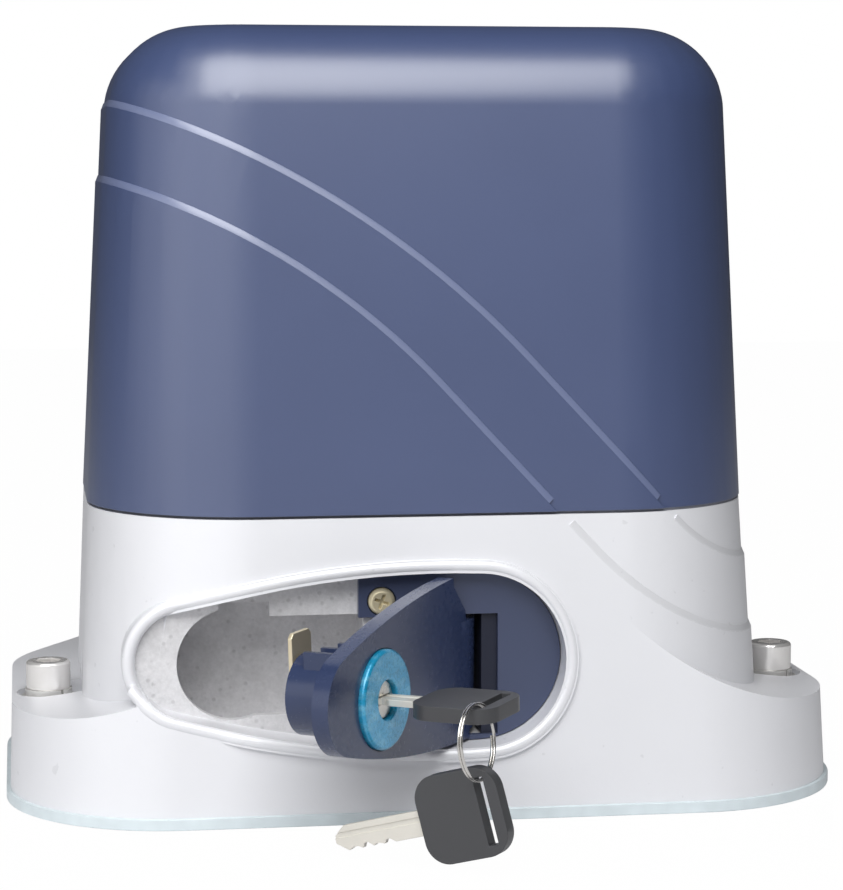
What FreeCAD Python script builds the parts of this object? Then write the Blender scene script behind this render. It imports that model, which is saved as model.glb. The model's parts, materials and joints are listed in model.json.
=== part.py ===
import FreeCAD, Part
import math
import os
import Sketcher

# Sliding gate motor: a cast gearbox on a zinc plated base plate, under a plastic cover, with a
# lockable release lever in front and an output pinion behind.  Millimetres, +Z up, front towards -Y,
# origin on the underside of the base plate, in the middle of its anchor holes.

V = FreeCAD.Vector
doc = FreeCAD.newDocument("SlidingGateMotor")

SIZES = [
    # base plate
    ("base_length", 300, "base plate, side to side"),
    ("base_depth", 194, "base plate, front to back"),
    ("base_corner", 60, "base plate corner radius"),
    ("plate_thick", 4, "base plate thickness"),
    ("plate_reveal", 1.5, "base plate stands proud of the casting by this"),
    ("anchor_span_x", 190, "anchor holes, side to side"),
    ("anchor_span_y", 100, "anchor holes, front to back"),
    ("anchor_bore", 11, "anchor hole diameter"),
    ("cable_entry", 44, "cable entry diameter in the base plate"),
    # outer form of casting and cover
    ("seam_height", 105, "lower edge of the cover"),
    ("cover_top", 273, "top of the cover"),
    ("body_length", 236, "casting at the seam, side to side, above both sweeps"),
    ("body_depth", 165, "casting at the seam, front to back, above both sweeps"),
    ("body_corner", 56, "casting corner radius at the seam"),
    ("side_flare", 4, "each side of the casting spreads by this down to the plate"),
    ("face_flare", 11, "front and back of the casting spread by this down to the plate"),
    ("sweep_step", 1, "each surface below a sweep line stands proud by this"),
    ("cover_overhang", 0.2, "cover stands proud of the casting by this"),
    ("cover_draft", 3, "draft angle of the cover, degrees"),
    ("cover_wall", 3, "cover wall"),
    ("cover_fillet", 30, "round along the top of the cover"),
    ("upper_crown_radius", 318, "upper sweep, long arc radius"),
    ("upper_crown_x", -202, "upper sweep, long arc centre, sideways"),
    ("upper_crown_z", -60, "upper sweep, long arc centre, height"),
    ("upper_steep", 46.9, "upper sweep, slope of its straight run, degrees"),
    ("upper_foot_radius", 60, "upper sweep, radius where it levels out"),
    ("upper_foot_z", 82.5, "upper sweep, height at the right side"),
    ("lower_crown_radius", 250, "lower sweep, long arc radius"),
    ("lower_crown_x", -183.4, "lower sweep, long arc centre, sideways"),
    ("lower_crown_z", -21.9, "lower sweep, long arc centre, height"),
    ("lower_steep", 47, "lower sweep, slope of its straight run, degrees"),
    ("lower_foot_radius", 110, "lower sweep, radius where it levels out"),
    ("lower_foot_z", 56, "lower sweep, height at the right side"),
    # ears and their bolts
    ("ear_height", 34.5, "top of the ears"),
    ("ear_sweep_radius", 115, "arc by which an ear rises into the body"),
    ("ear_sweep_start", 145, "where that arc leaves the flat, sideways"),
    ("ear_lean", 2, "an ear's side leans in by this up to the sweep's top"),
    ("sweep_top", 74, "height at which ear and body have merged"),
    ("ear_bolt_x", 134.5, "ear bolt, sideways from the middle"),
    ("ear_bolt_y", -20, "ear bolt, front to back"),
    ("ear_bolt_size", 10, "ear bolt thread"),
    ("ear_slot_travel", 14, "an ear bolt can be set sideways by this"),
    ("ear_pocket_depth", 3, "seat for the washers, below the ear's top"),
    ("ear_pocket_width", 23, "width of that seat"),
    ("bolt_clearance", 1, "hole diameter above bolt size"),
    ("weld_nut_height", 8, "nut welded on the plate under an ear"),
    ("weld_nut_flats", 16, "that nut across its flats"),
    ("flat_washer_thick", 2, "ear bolt flat washer"),
    ("spring_washer_thick", 2.6, "ear bolt spring washer"),
    # release recess
    ("recess_wide_x", 12.5, "centre of the recess's wide end, sideways"),
    ("recess_wide_radius", 29.7, "wide end of the recess"),
    ("recess_narrow_x", -88, "centre of the recess's narrow end, sideways"),
    ("recess_z", 54.8, "middle of the recess, height"),
    ("recess_narrow_radius", 17.7, "narrow end of the recess"),
    ("recess_flank_radius", 330, "long arcs between the two ends"),
    ("bead_width", 4.5, "raised bead round the recess"),
    ("bead_height", 1.3, "the bead stands proud by this"),
    ("ledge_y", -79, "floor of the recess"),
    ("ledge_thick", 4, "wall behind that floor"),
    ("keyhole_x", -72, "centre of the round end of the opening in the ledge"),
    ("keyhole_z", 53.5, "its height"),
    ("keyhole_radius", 19.5, "its radius"),
    ("keyhole_band_low", 35.5, "lower edge of the straight part of that opening"),
    ("keyhole_band_high", 70, "upper edge of that straight part"),
    ("keyhole_band_end", -27, "right end of that straight part"),
    ("tongue_notch", 75, "top of the notch that lets the lock's tongue through the ledge"),
    ("chamber_left", -98, "release chamber, left wall"),
    ("chamber_right", -26, "release chamber, right wall"),
    ("chamber_low", 27, "release chamber, floor"),
    ("chamber_high", 76, "release chamber, ceiling"),
    ("chamber_back", -50, "release chamber, rear wall"),
    # release lever
    ("hinge_x", -4.2, "lever hinge, sideways"),
    ("hinge_y", -72, "lever hinge, front to back"),
    ("hinge_z", 50, "middle of the lever hinge, height"),
    ("hinge_lean", 2.6, "the hinge leans forward by this, degrees"),
    ("hinge_low", 29, "lower end of the lever's drum"),
    ("hinge_high", 68, "upper end of the lever's drum"),
    ("hinge_pin", 6, "hinge pin diameter"),
    ("hinge_pin_grip", 6, "the pin enters the casting by this at each end"),
    ("lever_open", 54.5, "lever opening from closed to its stop, degrees"),
    ("lever_reach", 17, "lever face, from the hinge's axis"),
    ("lever_lip", 6, "depth of the lever's rim"),
    ("lever_skin", 2.6, "lever wall"),
    ("lever_gap", 1.1, "gap between closed lever and recess"),
    ("lever_end", 1, "wide end of the lever, beyond the hinge's axis"),
    ("lever_tip_x", 8.8, "tip of the lever, short of the hinge's axis"),
    ("lever_tip_z", 80.6, "tip of the lever, height"),
    ("cam_lift", 4, "the lever moves the clutch pin by this"),
    ("cam_gap", 0.7, "gap between drum and clutch pin"),
    ("barrel_depth", 29, "lock housing, behind the lever's face"),
    ("barrel_radius", 13.8, "lock housing radius"),
    ("lock_x", -67.7, "lock, sideways, with the lever closed"),
    ("lock_z", 52.6, "lock height"),
    ("lock_case_radius", 10.5, "lock body radius"),
    ("lock_face_radius", 16.6, "round plate on the face of the lock"),
    ("lock_face_proud", 2, "that plate stands proud by this"),
    ("plug_radius", 6, "lock plug radius"),
    ("running_gap", 0.05, "radial gap of a running fit"),
    ("loose_gap", 0.4, "gap between pieces that move past each other"),
    ("tongue_reach", 21, "cam tongue, from the lock's axis"),
    ("tongue_width", 13, "cam tongue width"),
    ("tongue_thick", 1.6, "cam tongue thickness"),
    # insert
    ("insert_thick", 3, "fixed insert in the wide end"),
    ("insert_left", -13, "left edge of the insert"),
    ("insert_tab_left", -29, "left edge of the insert's screw tab"),
    ("insert_tab_low", 69, "lower edge of that tab"),
    ("insert_slot_right", 19.7, "right side of the slot for the lever"),
    ("insert_slot_low", 27, "lower side of that slot"),
    ("insert_slot_high", 69.5, "upper side of that slot"),
    ("insert_screw_x", -20.9, "insert screw, sideways"),
    ("insert_screw_z", 74.6, "insert screw, height"),
    ("insert_screw_head", 9.4, "insert screw head diameter"),
    # keys and ring
    ("key_head_length", 30, "key head, along the key"),
    ("key_head_width", 29, "key head, across"),
    ("key_head_thick", 5, "key head thickness"),
    ("key_head_corner", 8, "key head corner radius"),
    ("key_slot_length", 22, "slot in a key head"),
    ("key_slot_width", 3.5, "width of that slot"),
    ("key_end_bar", 4.2, "bar between slot and end of the head"),
    ("blade_length", 33, "key blade outside its head"),
    ("blade_width", 8.4, "key blade width"),
    ("blade_thick", 2.2, "key blade thickness"),
    ("key_shoulder", 13.4, "front of the key head, from the lock's face plate"),
    ("ring_radius", 12.2, "key ring, middle of the wire"),
    ("ring_wire", 1.9, "key ring wire diameter"),
    ("ring_tilt", 7, "key ring leans by this, degrees"),
    ("spare_key_droop", 16, "hanging key's blade points down by this, degrees"),
    # drive train
    ("shaft_z", 52, "output shaft height"),
    ("shaft_size", 20, "output shaft diameter"),
    ("wheel_module", 2, "worm and wheel module"),
    ("wheel_teeth", 38, "worm wheel teeth"),
    ("wheel_width", 16, "worm wheel width"),
    ("wheel_y", 15, "middle of the worm wheel"),
    ("worm_pitch_radius", 10, "worm pitch radius"),
    ("clutch_depth", 9, "cone recess in the worm wheel"),
    ("clutch_radius", 25, "cone recess at the wheel's face"),
    ("clutch_taper", 4, "the cone recess narrows by this"),
    ("clutch_pin", 6, "clutch pin diameter"),
    ("bearing_outer", 42, "shaft bearing outside diameter"),
    ("bearing_width", 12, "shaft bearing width"),
    ("bearing_race", 4, "thickness of a bearing race"),
    ("seal_gap", 5.5, "distance from the rear shaft bearing to the seal"),
    ("seal_outer", 35, "shaft seal outside diameter"),
    ("seal_width", 7, "shaft seal width"),
    ("pinion_module", 4, "output pinion module"),
    ("pinion_teeth", 16, "output pinion teeth"),
    ("pinion_width", 27, "output pinion width"),
    ("pinion_gap", 1.5, "output pinion behind the casting's nose"),
    ("nose_radius", 27, "bearing nose of the casting"),
    ("nose_short", 3.5, "distance the nose stops short of the rear edge of the base"),
    ("key_stock", 6, "square key in the pinion"),
    # motor
    ("deck_top", 100, "deck of the casting"),
    ("deck_thick", 6, "deck thickness"),
    ("motor_radius", 55, "motor body radius"),
    ("motor_wall", 4, "motor shield wall"),
    ("shield_height", 22, "lower and upper motor shields"),
    ("stator_height", 66, "stator stack"),
    ("stator_bore", 27, "stator bore radius"),
    ("rotor_gap", 0.5, "gap between rotor and stator"),
    ("rotor_shaft", 14, "rotor shaft diameter"),
    ("rotor_bearing_outer", 32, "rotor bearing outside diameter"),
    ("rotor_bearing_width", 9, "rotor bearing width"),
    ("worm_shelf_top", 24, "shelf under the worm"),
    ("cavity_gap_y", -46, "front wall of the gear space"),
    ("casting_wall", 6, "casting wall"),
    # electrics
    ("board_x", 44, "control board, sideways"),
    ("board_width", 96, "control board, front to back"),
    ("board_height", 84, "control board height"),
    ("board_thick", 1.6, "control board thickness"),
    ("standoff", 8, "control board standoffs"),
    ("bracket_thick", 2, "bracket of the control board"),
    ("capacitor_radius", 17, "run capacitor radius"),
    ("capacitor_height", 72, "run capacitor height"),
    ("transformer_width", 44, "transformer, side to side"),
    ("transformer_depth", 52, "transformer, front to back"),
    ("transformer_height", 44, "transformer height"),
    ("grommet_x", 50, "cable grommet, sideways"),
    ("grommet_y", 50, "cable grommet, front to back"),
    ("grommet_bore", 24.8, "hole for the grommet in the deck"),
    # back of the housing
    ("cover_screw_x", 50, "cover screws, sideways from the middle"),
    ("cover_screw_z", 113, "cover screws, height"),
    ("cover_screw_size", 5, "cover screw thread"),
    ("switch_x", 56, "limit switch, sideways"),
    ("switch_z", 95, "limit switch height"),
    ("switch_arm", 34, "limit switch arm behind its housing"),
    ("gasket_thick", 1, "gasket under the cover"),
]

sheet = doc.addObject("Spreadsheet::Sheet", "Dims")
for row, (alias, value, note) in enumerate(SIZES, start=1):
    sheet.set("A%d" % row, note)
    sheet.set("B%d" % row, str(value))
    sheet.setAlias("B%d" % row, alias)
doc.recompute()


class Size:
    """A dimension: its value now, and the spreadsheet expression that it follows."""

    def __init__(self, value, text):
        self.value = float(value)
        self.text = text

    def __add__(self, other):
        other = size_of(other)
        return Size(self.value + other.value, "(%s + %s)" % (self.text, other.text))

    def __sub__(self, other):
        other = size_of(other)
        return Size(self.value - other.value, "(%s - %s)" % (self.text, other.text))

    def __mul__(self, other):
        other = size_of(other)
        return Size(self.value * other.value, "(%s * %s)" % (self.text, other.text))

    def __truediv__(self, other):
        other = size_of(other)
        return Size(self.value / other.value, "(%s / %s)" % (self.text, other.text))

    def __neg__(self):
        return self * -1

    def __radd__(self, other):
        return size_of(other) + self

    def __rsub__(self, other):
        return size_of(other) - self

    def __rmul__(self, other):
        return size_of(other) * self

    def __float__(self):
        return self.value


def size_of(item):
    if isinstance(item, Size):
        return item
    return Size(item, "%.6f" % item)


def root(size):
    return Size(math.sqrt(size.value), "sqrt(%s)" % size.text)


def cosine(size):
    return Size(math.cos(math.radians(size.value)), "cos(%s)" % size.text)


def sine(size):
    return Size(math.sin(math.radians(size.value)), "sin(%s)" % size.text)


def tangent(size):
    return Size(math.tan(math.radians(size.value)), "tan(%s)" % size.text)


class Sheet:
    """Gives each cell of the spreadsheet by its alias."""

    def __getattr__(self, alias):
        return Size(getattr(sheet, alias), "Dims." + alias)


d = Sheet()
nodes = {}


def bind(thing, name, size):
    """Set a property and tie it to the spreadsheet."""
    thing.setExpression(name, size_of(size).text)


def place(thing, x=0, y=0, z=0, turn=None):
    """Place an object at a spreadsheet position, turned by a fixed rotation."""
    if turn is not None:
        thing.Placement = FreeCAD.Placement(V(), turn)
    for axis, size in zip("xyz", (x, y, z)):
        bind(thing, "Placement.Base." + axis, size)
    return thing


FACE_FRONT = FreeCAD.Rotation(V(1, 0, 0), 90)
ALONG_Y = FreeCAD.Rotation(V(1, 0, 0), -90)
ALONG_X = FreeCAD.Rotation(V(0, 1, 0), 90)


# --- outlines -------------------------------------------------------------------------------------

def circle(x, y, radius):
    return {"circle": (size_of(x), size_of(y), size_of(radius))}


def path(*corners):
    """A closed outline.  A corner is (x, y), or (x, y, radius, side) where the edge to the next
    corner is an arc, with its centre to the left (side 1) or the right (side -1)."""
    return {"path": corners}


def rectangle(left, low, right, high):
    return path((left, low), (right, low), (right, high), (left, high))


def slab(length, depth, corner, x=0, y=0):
    """A rounded rectangle about (x, y)."""
    hx = size_of(length) / 2
    hy = size_of(depth) / 2
    r = size_of(corner)
    return path((x - hx + r, y - hy), (x + hx - r, y - hy, r, 1),
                (x + hx, y - hy + r), (x + hx, y + hy - r, r, 1),
                (x + hx - r, y + hy), (x - hx + r, y + hy, r, 1),
                (x - hx, y + hy - r), (x - hx, y - hy + r, r, 1))


def arc_between(start, end, radius, side):
    """The arc from start to end, as an ArcOfCircle and whether it runs backwards."""
    middle = (start + end) * 0.5
    half = end - start
    half.multiply(0.5)
    rise = math.sqrt(max(radius ** 2 - half.Length ** 2, 0))
    left = V(-half.y, half.x, 0).normalize()
    centre = middle + left * (rise * side)
    angle = [math.atan2(p.y - centre.y, p.x - centre.x) for p in (start, end)]
    if side < 0:
        angle.reverse()
    return Part.ArcOfCircle(Part.Circle(centre, V(0, 0, 1), radius), *angle)


def add_constraint(sketch, size, *definition):
    index = sketch.addConstraint(Sketcher.Constraint(*definition, size.value))
    name = "c%d" % index
    sketch.renameConstraint(index, name)
    bind(sketch, ".Constraints." + name, size)


def draw_circle(sketch, x, y, radius):
    centre = V(x.value, y.value, 0)
    index = sketch.addGeometry(Part.Circle(centre, V(0, 0, 1), radius.value), False)
    add_constraint(sketch, x, "DistanceX", -1, 1, index, 3)
    add_constraint(sketch, y, "DistanceY", -1, 1, index, 3)
    add_constraint(sketch, radius, "Radius", index)


def draw_path(sketch, corners):
    points = [V(float(c[0]), float(c[1]), 0) for c in corners]
    ends = []
    for number, corner in enumerate(corners):
        start = points[number]
        end = points[(number + 1) % len(points)]
        if len(corner) == 2:
            index = sketch.addGeometry(Part.LineSegment(start, end), False)
            ends.append((index, 1, 2))
        else:
            radius = size_of(corner[2])
            arc = arc_between(start, end, radius.value, corner[3])
            index = sketch.addGeometry(arc, False)
            ends.append((index, 1, 2) if corner[3] > 0 else (index, 2, 1))
    for number, (index, first, last) in enumerate(ends):
        following = ends[(number + 1) % len(ends)]
        sketch.addConstraint(Sketcher.Constraint("Coincident", index, last, following[0], following[1]))
    for (index, first, last), corner in zip(ends, corners):
        add_constraint(sketch, size_of(corner[0]), "DistanceX", -1, 1, index, first)
        add_constraint(sketch, size_of(corner[1]), "DistanceY", -1, 1, index, first)
        if len(corner) > 2:
            add_constraint(sketch, size_of(corner[2]), "Radius", index)


def fill(sketch, outlines):
    for outline in outlines:
        if "circle" in outline:
            draw_circle(sketch, *outline["circle"])
        else:
            draw_path(sketch, outline["path"])


# --- features -------------------------------------------------------------------------------------

PLANES = {"XY": "XY_Plane", "XZ": "XZ_Plane", "YZ": "YZ_Plane"}


def new_body(name):
    return doc.addObject("PartDesign::Body", name)


def body_sketch(body, plane, outlines, lift=0):
    """A sketch on one of the body's own planes, lifted along the plane's normal."""
    sketch = body.newObject("Sketcher::SketchObject", body.Name + "_sketch")
    origin = [item for item in body.Origin.OriginFeatures if item.Role == PLANES[plane]][0]
    sketch.AttachmentSupport = [(origin, "")]
    sketch.MapMode = "FlatFace"
    bind(sketch, "AttachmentOffset.Base.z", lift)
    fill(sketch, outlines)
    return sketch


def pad(body, plane, outlines, length, lift=0):
    feature = body.newObject("PartDesign::Pad", body.Name + "_pad")
    feature.Profile = body_sketch(body, plane, outlines, lift)
    bind(feature, "Length", length)
    return feature


def pocket(body, plane, outlines, depth, lift=0, reverse=False):
    feature = body.newObject("PartDesign::Pocket", body.Name + "_pocket")
    feature.Profile = body_sketch(body, plane, outlines, lift)
    feature.Reversed = reverse
    bind(feature, "Length", depth)
    return feature


def turned(name, *outlines):
    """A body turned about its own Z axis, from outlines in radius and height."""
    body = new_body(name)
    for outline in outlines:
        feature = body.newObject("PartDesign::Revolution", name + "_turn")
        sketch = body_sketch(body, "XZ", [outline])
        feature.Profile = sketch
        feature.ReferenceAxis = (sketch, ["V_Axis"])
        feature.Angle = 360
    return body


def free_sketch(name, plane, outlines, lift=0):
    """A sketch of its own: XY lies level at height lift, XZ stands facing the front at y = lift."""
    sketch = doc.addObject("Sketcher::SketchObject", name + "_sketch")
    if plane == "XZ":
        place(sketch, 0, lift, 0, FACE_FRONT)
    else:
        place(sketch, 0, 0, lift)
    fill(sketch, outlines)
    return sketch


def extrude(name, plane, outlines, start, end):
    """A prism between two heights (plane XY) or two depths (plane XZ)."""
    solid = doc.addObject("Part::Extrusion", name)
    solid.Base = free_sketch(name, plane, outlines, start)
    solid.DirMode = "Custom"
    solid.Dir = V(0, 0, 1) if plane == "XY" else V(0, 1, 0)
    solid.Solid = True
    bind(solid, "LengthFwd", size_of(end) - start)
    return solid


def loft(name, low, high):
    """A straight sided solid between two level outlines, each given as (height, outline)."""
    solid = doc.addObject("Part::Loft", name)
    solid.Sections = [free_sketch(name, "XY", [outline], height) for height, outline in (low, high)]
    solid.Solid = True
    solid.Ruled = True
    return solid


def cylinder(name, radius, start, end, x=0, y=0, z=0, axis="Z"):
    """A cylinder from start to end along its axis; the other two positions give its place."""
    solid = doc.addObject("Part::Cylinder", name)
    bind(solid, "Radius", radius)
    bind(solid, "Height", size_of(end) - start)
    if axis == "Z":
        return place(solid, x, y, start)
    if axis == "Y":
        return place(solid, x, start, z, ALONG_Y)
    return place(solid, start, y, z, ALONG_X)


def block(name, x, y, z):
    """A box between pairs of positions."""
    solid = doc.addObject("Part::Box", name)
    for prop, pair in zip(("Length", "Width", "Height"), (x, y, z)):
        bind(solid, prop, size_of(pair[1]) - pair[0])
    return place(solid, x[0], y[0], z[0])


def joined(name, *pieces):
    solid = doc.addObject("Part::MultiFuse", name)
    solid.Shapes = list(pieces)
    return solid


def common(name, first, second):
    solid = doc.addObject("Part::Common", name)
    solid.Base = first
    solid.Tool = second
    return solid


def cut(name, base, *tools):
    solid = doc.addObject("Part::Cut", name)
    solid.Base = base
    solid.Tool = tools[0] if len(tools) == 1 else joined(name + "_tools", *tools)
    return solid


def group(name, *pieces):
    solid = doc.addObject("Part::Compound", name)
    solid.Links = list(pieces)
    return solid


def node(name, thing):
    """Make an object one of the assembly's own pieces."""
    thing.Label = name
    nodes[name] = thing
    return thing


# --- outer forms shared by casting and cover --------------------------------------------------------

def sweep(crown_radius, crown_x, crown_z, steep, foot_radius, foot_z):
    """The area under a sweep line: an arc falling to the right, a straight run, a levelling arc."""
    steep_x = crown_x + crown_radius * sine(steep)
    steep_z = crown_z + crown_radius * cosine(steep)
    level_z = foot_z + foot_radius - foot_radius * cosine(steep)
    level_x = steep_x + (steep_z - level_z) / tangent(steep)
    foot_x = level_x + foot_radius * sine(steep)
    far = d.base_length
    return path((crown_x, 0), (far, 0), (far, foot_z),
                (foot_x, foot_z, foot_radius, -1), (level_x, level_z),
                (steep_x, steep_z, crown_radius, 1), (crown_x, crown_z + crown_radius))


UPPER = sweep(d.upper_crown_radius, d.upper_crown_x, d.upper_crown_z, d.upper_steep,
              d.upper_foot_radius, d.upper_foot_z)
LOWER = sweep(d.lower_crown_radius, d.lower_crown_x, d.lower_crown_z, d.lower_steep,
              d.lower_foot_radius, d.lower_foot_z)


def under(name, outline):
    return extrude(name, "XZ", [outline], -d.base_depth, d.base_depth)


def casting_level(name, proud):
    """The casting's tapering form, standing proud of its upper level by some amount."""
    corner = d.body_corner + proud
    low = slab(d.body_length + d.side_flare * 2 + proud * 2,
               d.body_depth + d.face_flare * 2 + proud * 2, corner)
    high = slab(d.body_length + proud * 2, d.body_depth + proud * 2, corner)
    return loft(name, (d.plate_thick, low), (d.seam_height - d.gasket_thick, high))


def cover_level(name, proud, rise, fillet):
    """The cover's drafted and rounded form, from the seam up."""
    body = new_body(name)
    outline = slab(d.body_length + (d.cover_overhang + proud) * 2,
                   d.body_depth + (d.cover_overhang + proud) * 2,
                   d.body_corner + d.cover_overhang + proud)
    base = pad(body, "XY", [outline], rise - d.seam_height, d.seam_height)
    base.TaperAngle = -d.cover_draft.value
    bind(base, "TaperAngle", -d.cover_draft)
    doc.recompute()
    top = base.Shape.BoundBox.ZMax
    rim = ["Edge%d" % (number + 1) for number, edge in enumerate(base.Shape.Edges)
           if edge.BoundBox.ZMin > top - 0.01]
    rounded = body.newObject("PartDesign::Fillet", name + "_fillet")
    rounded.Base = (base, rim)
    bind(rounded, "Radius", fillet)
    return body


# --- base plate -------------------------------------------------------------------------------------

plate = node("base_plate", new_body("base_plate"))
pad(plate, "XY", [slab(d.base_length, d.base_depth, d.base_corner)], d.plate_thick)
anchor_x = d.anchor_span_x / 2
anchor_y = d.anchor_span_y / 2
anchors = [circle(anchor_x * side, anchor_y * way, d.anchor_bore / 2) for side in (-1, 1) for way in (-1, 1)]
pocket(plate, "XY", anchors, d.plate_thick, reverse=True)
ear_hole = (d.ear_bolt_size + d.bolt_clearance) / 2
ear_holes = [circle(d.ear_bolt_x * side, d.ear_bolt_y, ear_hole) for side in (-1, 1)]
pocket(plate, "XY", ear_holes + [circle(d.cable_entry * 1.6, d.cable_entry * 0.7, d.cable_entry / 2)],
       d.plate_thick, reverse=True)


# --- gearbox casting --------------------------------------------------------------------------------

casting_forms = [
    casting_level("casting_upper_level", size_of(0)),
    common("casting_middle_level", casting_level("casting_middle_form", d.sweep_step),
           under("casting_under_upper", UPPER)),
    common("casting_lower_level", casting_level("casting_lower_form", d.sweep_step * 2),
           under("casting_under_lower", LOWER)),
]
ear_length = d.base_length - d.plate_reveal * 2
ear_depth = d.base_depth - d.plate_reveal * 2
ear_rise = (d.sweep_top - d.plate_thick) / (d.seam_height - d.gasket_thick - d.plate_thick)
ear_form = loft("ear_form",
                (d.plate_thick, slab(ear_length, ear_depth, d.base_corner - d.plate_reveal)),
                (d.sweep_top, slab(ear_length - d.ear_lean * 2, ear_depth - d.face_flare * 2 * ear_rise,
                                   d.base_corner - d.plate_reveal)))
ear_arc_z = d.ear_height + d.ear_sweep_radius
ear_arc_drop = ear_arc_z - d.sweep_top
ear_arc_x = d.ear_sweep_start - root(d.ear_sweep_radius * d.ear_sweep_radius - ear_arc_drop * ear_arc_drop)
ear_profile = path((-d.base_length, 0), (d.base_length, 0), (d.base_length, d.ear_height),
                   (d.ear_sweep_start, d.ear_height, d.ear_sweep_radius, -1), (ear_arc_x, d.sweep_top),
                   (-ear_arc_x, d.sweep_top, d.ear_sweep_radius, -1), (-d.ear_sweep_start, d.ear_height),
                   (-d.base_length, d.ear_height))
ears = common("ears", ear_form, under("ear_sweep", ear_profile))


def teardrop(gap, x=0, z=0):
    """The release recess's outline, set outwards by gap, moved by (-x, -z)."""
    ra = d.recess_wide_radius + gap
    rb = d.recess_narrow_radius + gap
    ax = d.recess_wide_x - x
    bx = d.recess_narrow_x - x
    mid = d.recess_z - z
    flank = d.recess_flank_radius + gap
    pa = d.recess_flank_radius - d.recess_wide_radius
    pb = d.recess_flank_radius - d.recess_narrow_radius
    span = d.recess_wide_x - d.recess_narrow_x
    shift = (pa * pa - pb * pb + span * span) / (span * 2)
    height = root(pa * pa - shift * shift)
    wide_x = ax + shift / pa * ra
    wide_z = height / pa * ra
    narrow_x = bx + (shift - span) / pb * rb
    narrow_z = height / pb * rb
    return path((wide_x, mid - wide_z, ra, 1), (ax + ra, mid, ra, 1),
                (wide_x, mid + wide_z, flank, 1), (narrow_x, mid + narrow_z, rb, 1),
                (bx - rb, mid, rb, 1), (narrow_x, mid - narrow_z, flank, 1))


front = -d.base_depth
bead = common("recess_bead", extrude("bead_outline", "XZ", [teardrop(d.bead_width)], front, d.ledge_y),
              casting_level("bead_level", d.sweep_step * 2 + d.bead_height))

shaft_x = d.hinge_x
rear_wall = d.body_depth / 2 - d.casting_wall
nose_end = d.base_depth / 2 - d.nose_short
nose = cylinder("bearing_nose", d.nose_radius, rear_wall, nose_end, x=shaft_x, z=d.shaft_z, axis="Y")
casting_outside = joined("casting_outside", *casting_forms, ears, bead, nose)

deck_low = d.deck_top - d.deck_thick
inner_length = d.body_length - d.casting_wall * 2 - 2
inner_depth = d.body_depth - d.casting_wall * 2
inner_corner = d.body_corner - d.casting_wall
gear_space = extrude("gear_space", "XY", [slab(inner_length, inner_depth, inner_corner)],
                     d.plate_thick, deck_low)
block_left = d.recess_narrow_x - d.recess_narrow_radius - d.casting_wall
block_right = d.recess_wide_x + d.recess_wide_radius + d.casting_wall
release_block = block("release_block", (block_left, block_right), (front, d.cavity_gap_y),
                      (d.chamber_low - 7, d.seam_height))
front_space = cut("front_space", gear_space, release_block)
tray = extrude("deck_tray", "XY", [slab(inner_length, inner_depth, inner_corner)],
               d.deck_top, d.seam_height)
recess = extrude("release_recess", "XZ", [teardrop(0)], front, d.ledge_y)
keyhole = extrude("ledge_keyhole", "XZ", [circle(d.keyhole_x, d.keyhole_z, d.keyhole_radius)],
                  d.ledge_y, d.ledge_y + d.ledge_thick)
keyhole_band = block("ledge_opening", (d.keyhole_x, d.keyhole_band_end),
                     (d.ledge_y, d.ledge_y + d.ledge_thick), (d.keyhole_band_low, d.keyhole_band_high))
tongue_notch = block("ledge_tongue_notch", (d.lock_x - d.tongue_width * 0.72, d.lock_x + d.tongue_width * 0.63),
                     (d.ledge_y, d.ledge_y + d.ledge_thick), (d.keyhole_z, d.tongue_notch))
chamber = block("release_chamber", (d.chamber_left, d.chamber_right),
                (d.ledge_y + d.ledge_thick, d.chamber_back), (d.chamber_low, d.chamber_high))
drum_radius = d.lever_reach
drum_low = d.hinge_low - 2.5
drum_high = d.hinge_high + 2.5
drum_room = cylinder("drum_room", drum_radius + 1.6, drum_low, drum_high, x=d.hinge_x, y=d.hinge_y)
drum_front = block("drum_front", (d.hinge_x - drum_radius - 1, d.hinge_x + drum_radius + 8),
                   (d.ledge_y, d.hinge_y + 10), (drum_low, drum_high))
lean = FreeCAD.Rotation(V(1, 0, 0), d.hinge_lean.value)
pin_hole = doc.addObject("Part::Cylinder", "hinge_pin_hole")
bind(pin_hole, "Radius", d.hinge_pin / 2 + d.running_gap)
pin_length = drum_high - drum_low + d.hinge_pin_grip * 2
bind(pin_hole, "Height", pin_length)


def along_hinge(thing, distance):
    """Place something on the lever's leaning hinge axis, at a distance below its middle."""
    thing.Placement = FreeCAD.Placement(V(), lean)
    bind(thing, "Placement.Base.x", d.hinge_x)
    bind(thing, "Placement.Base.y", d.hinge_y + distance * sine(d.hinge_lean))
    bind(thing, "Placement.Base.z", d.hinge_z - distance * cosine(d.hinge_lean))
    return thing


pin_drop = d.hinge_z - drum_low + d.hinge_pin_grip
along_hinge(pin_hole, pin_drop)
clutch_web_end = d.cavity_gap_y + 10
web_boss = cylinder("clutch_web_boss", 9.5, d.cavity_gap_y - 1, clutch_web_end,
                    x=shaft_x, z=d.shaft_z, axis="Y")
pin_bore = cylinder("clutch_pin_bore", d.clutch_pin / 2 + d.running_gap, d.hinge_y, clutch_web_end + 1,
                    x=shaft_x, z=d.shaft_z, axis="Y")
spring_seat = cylinder("clutch_spring_seat", 5.6, d.hinge_y, clutch_web_end - 6,
                       x=shaft_x, z=d.shaft_z, axis="Y")
bearing_one = d.wheel_y + d.wheel_width / 2 + 7
seal_start = nose_end - 2 - d.seal_width
bearing_two = seal_start - d.seal_gap - d.bearing_width
tube = cylinder("bearing_tube", d.nose_radius, bearing_one - 2, rear_wall + 1, x=shaft_x, z=d.shaft_z, axis="Y")
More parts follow.
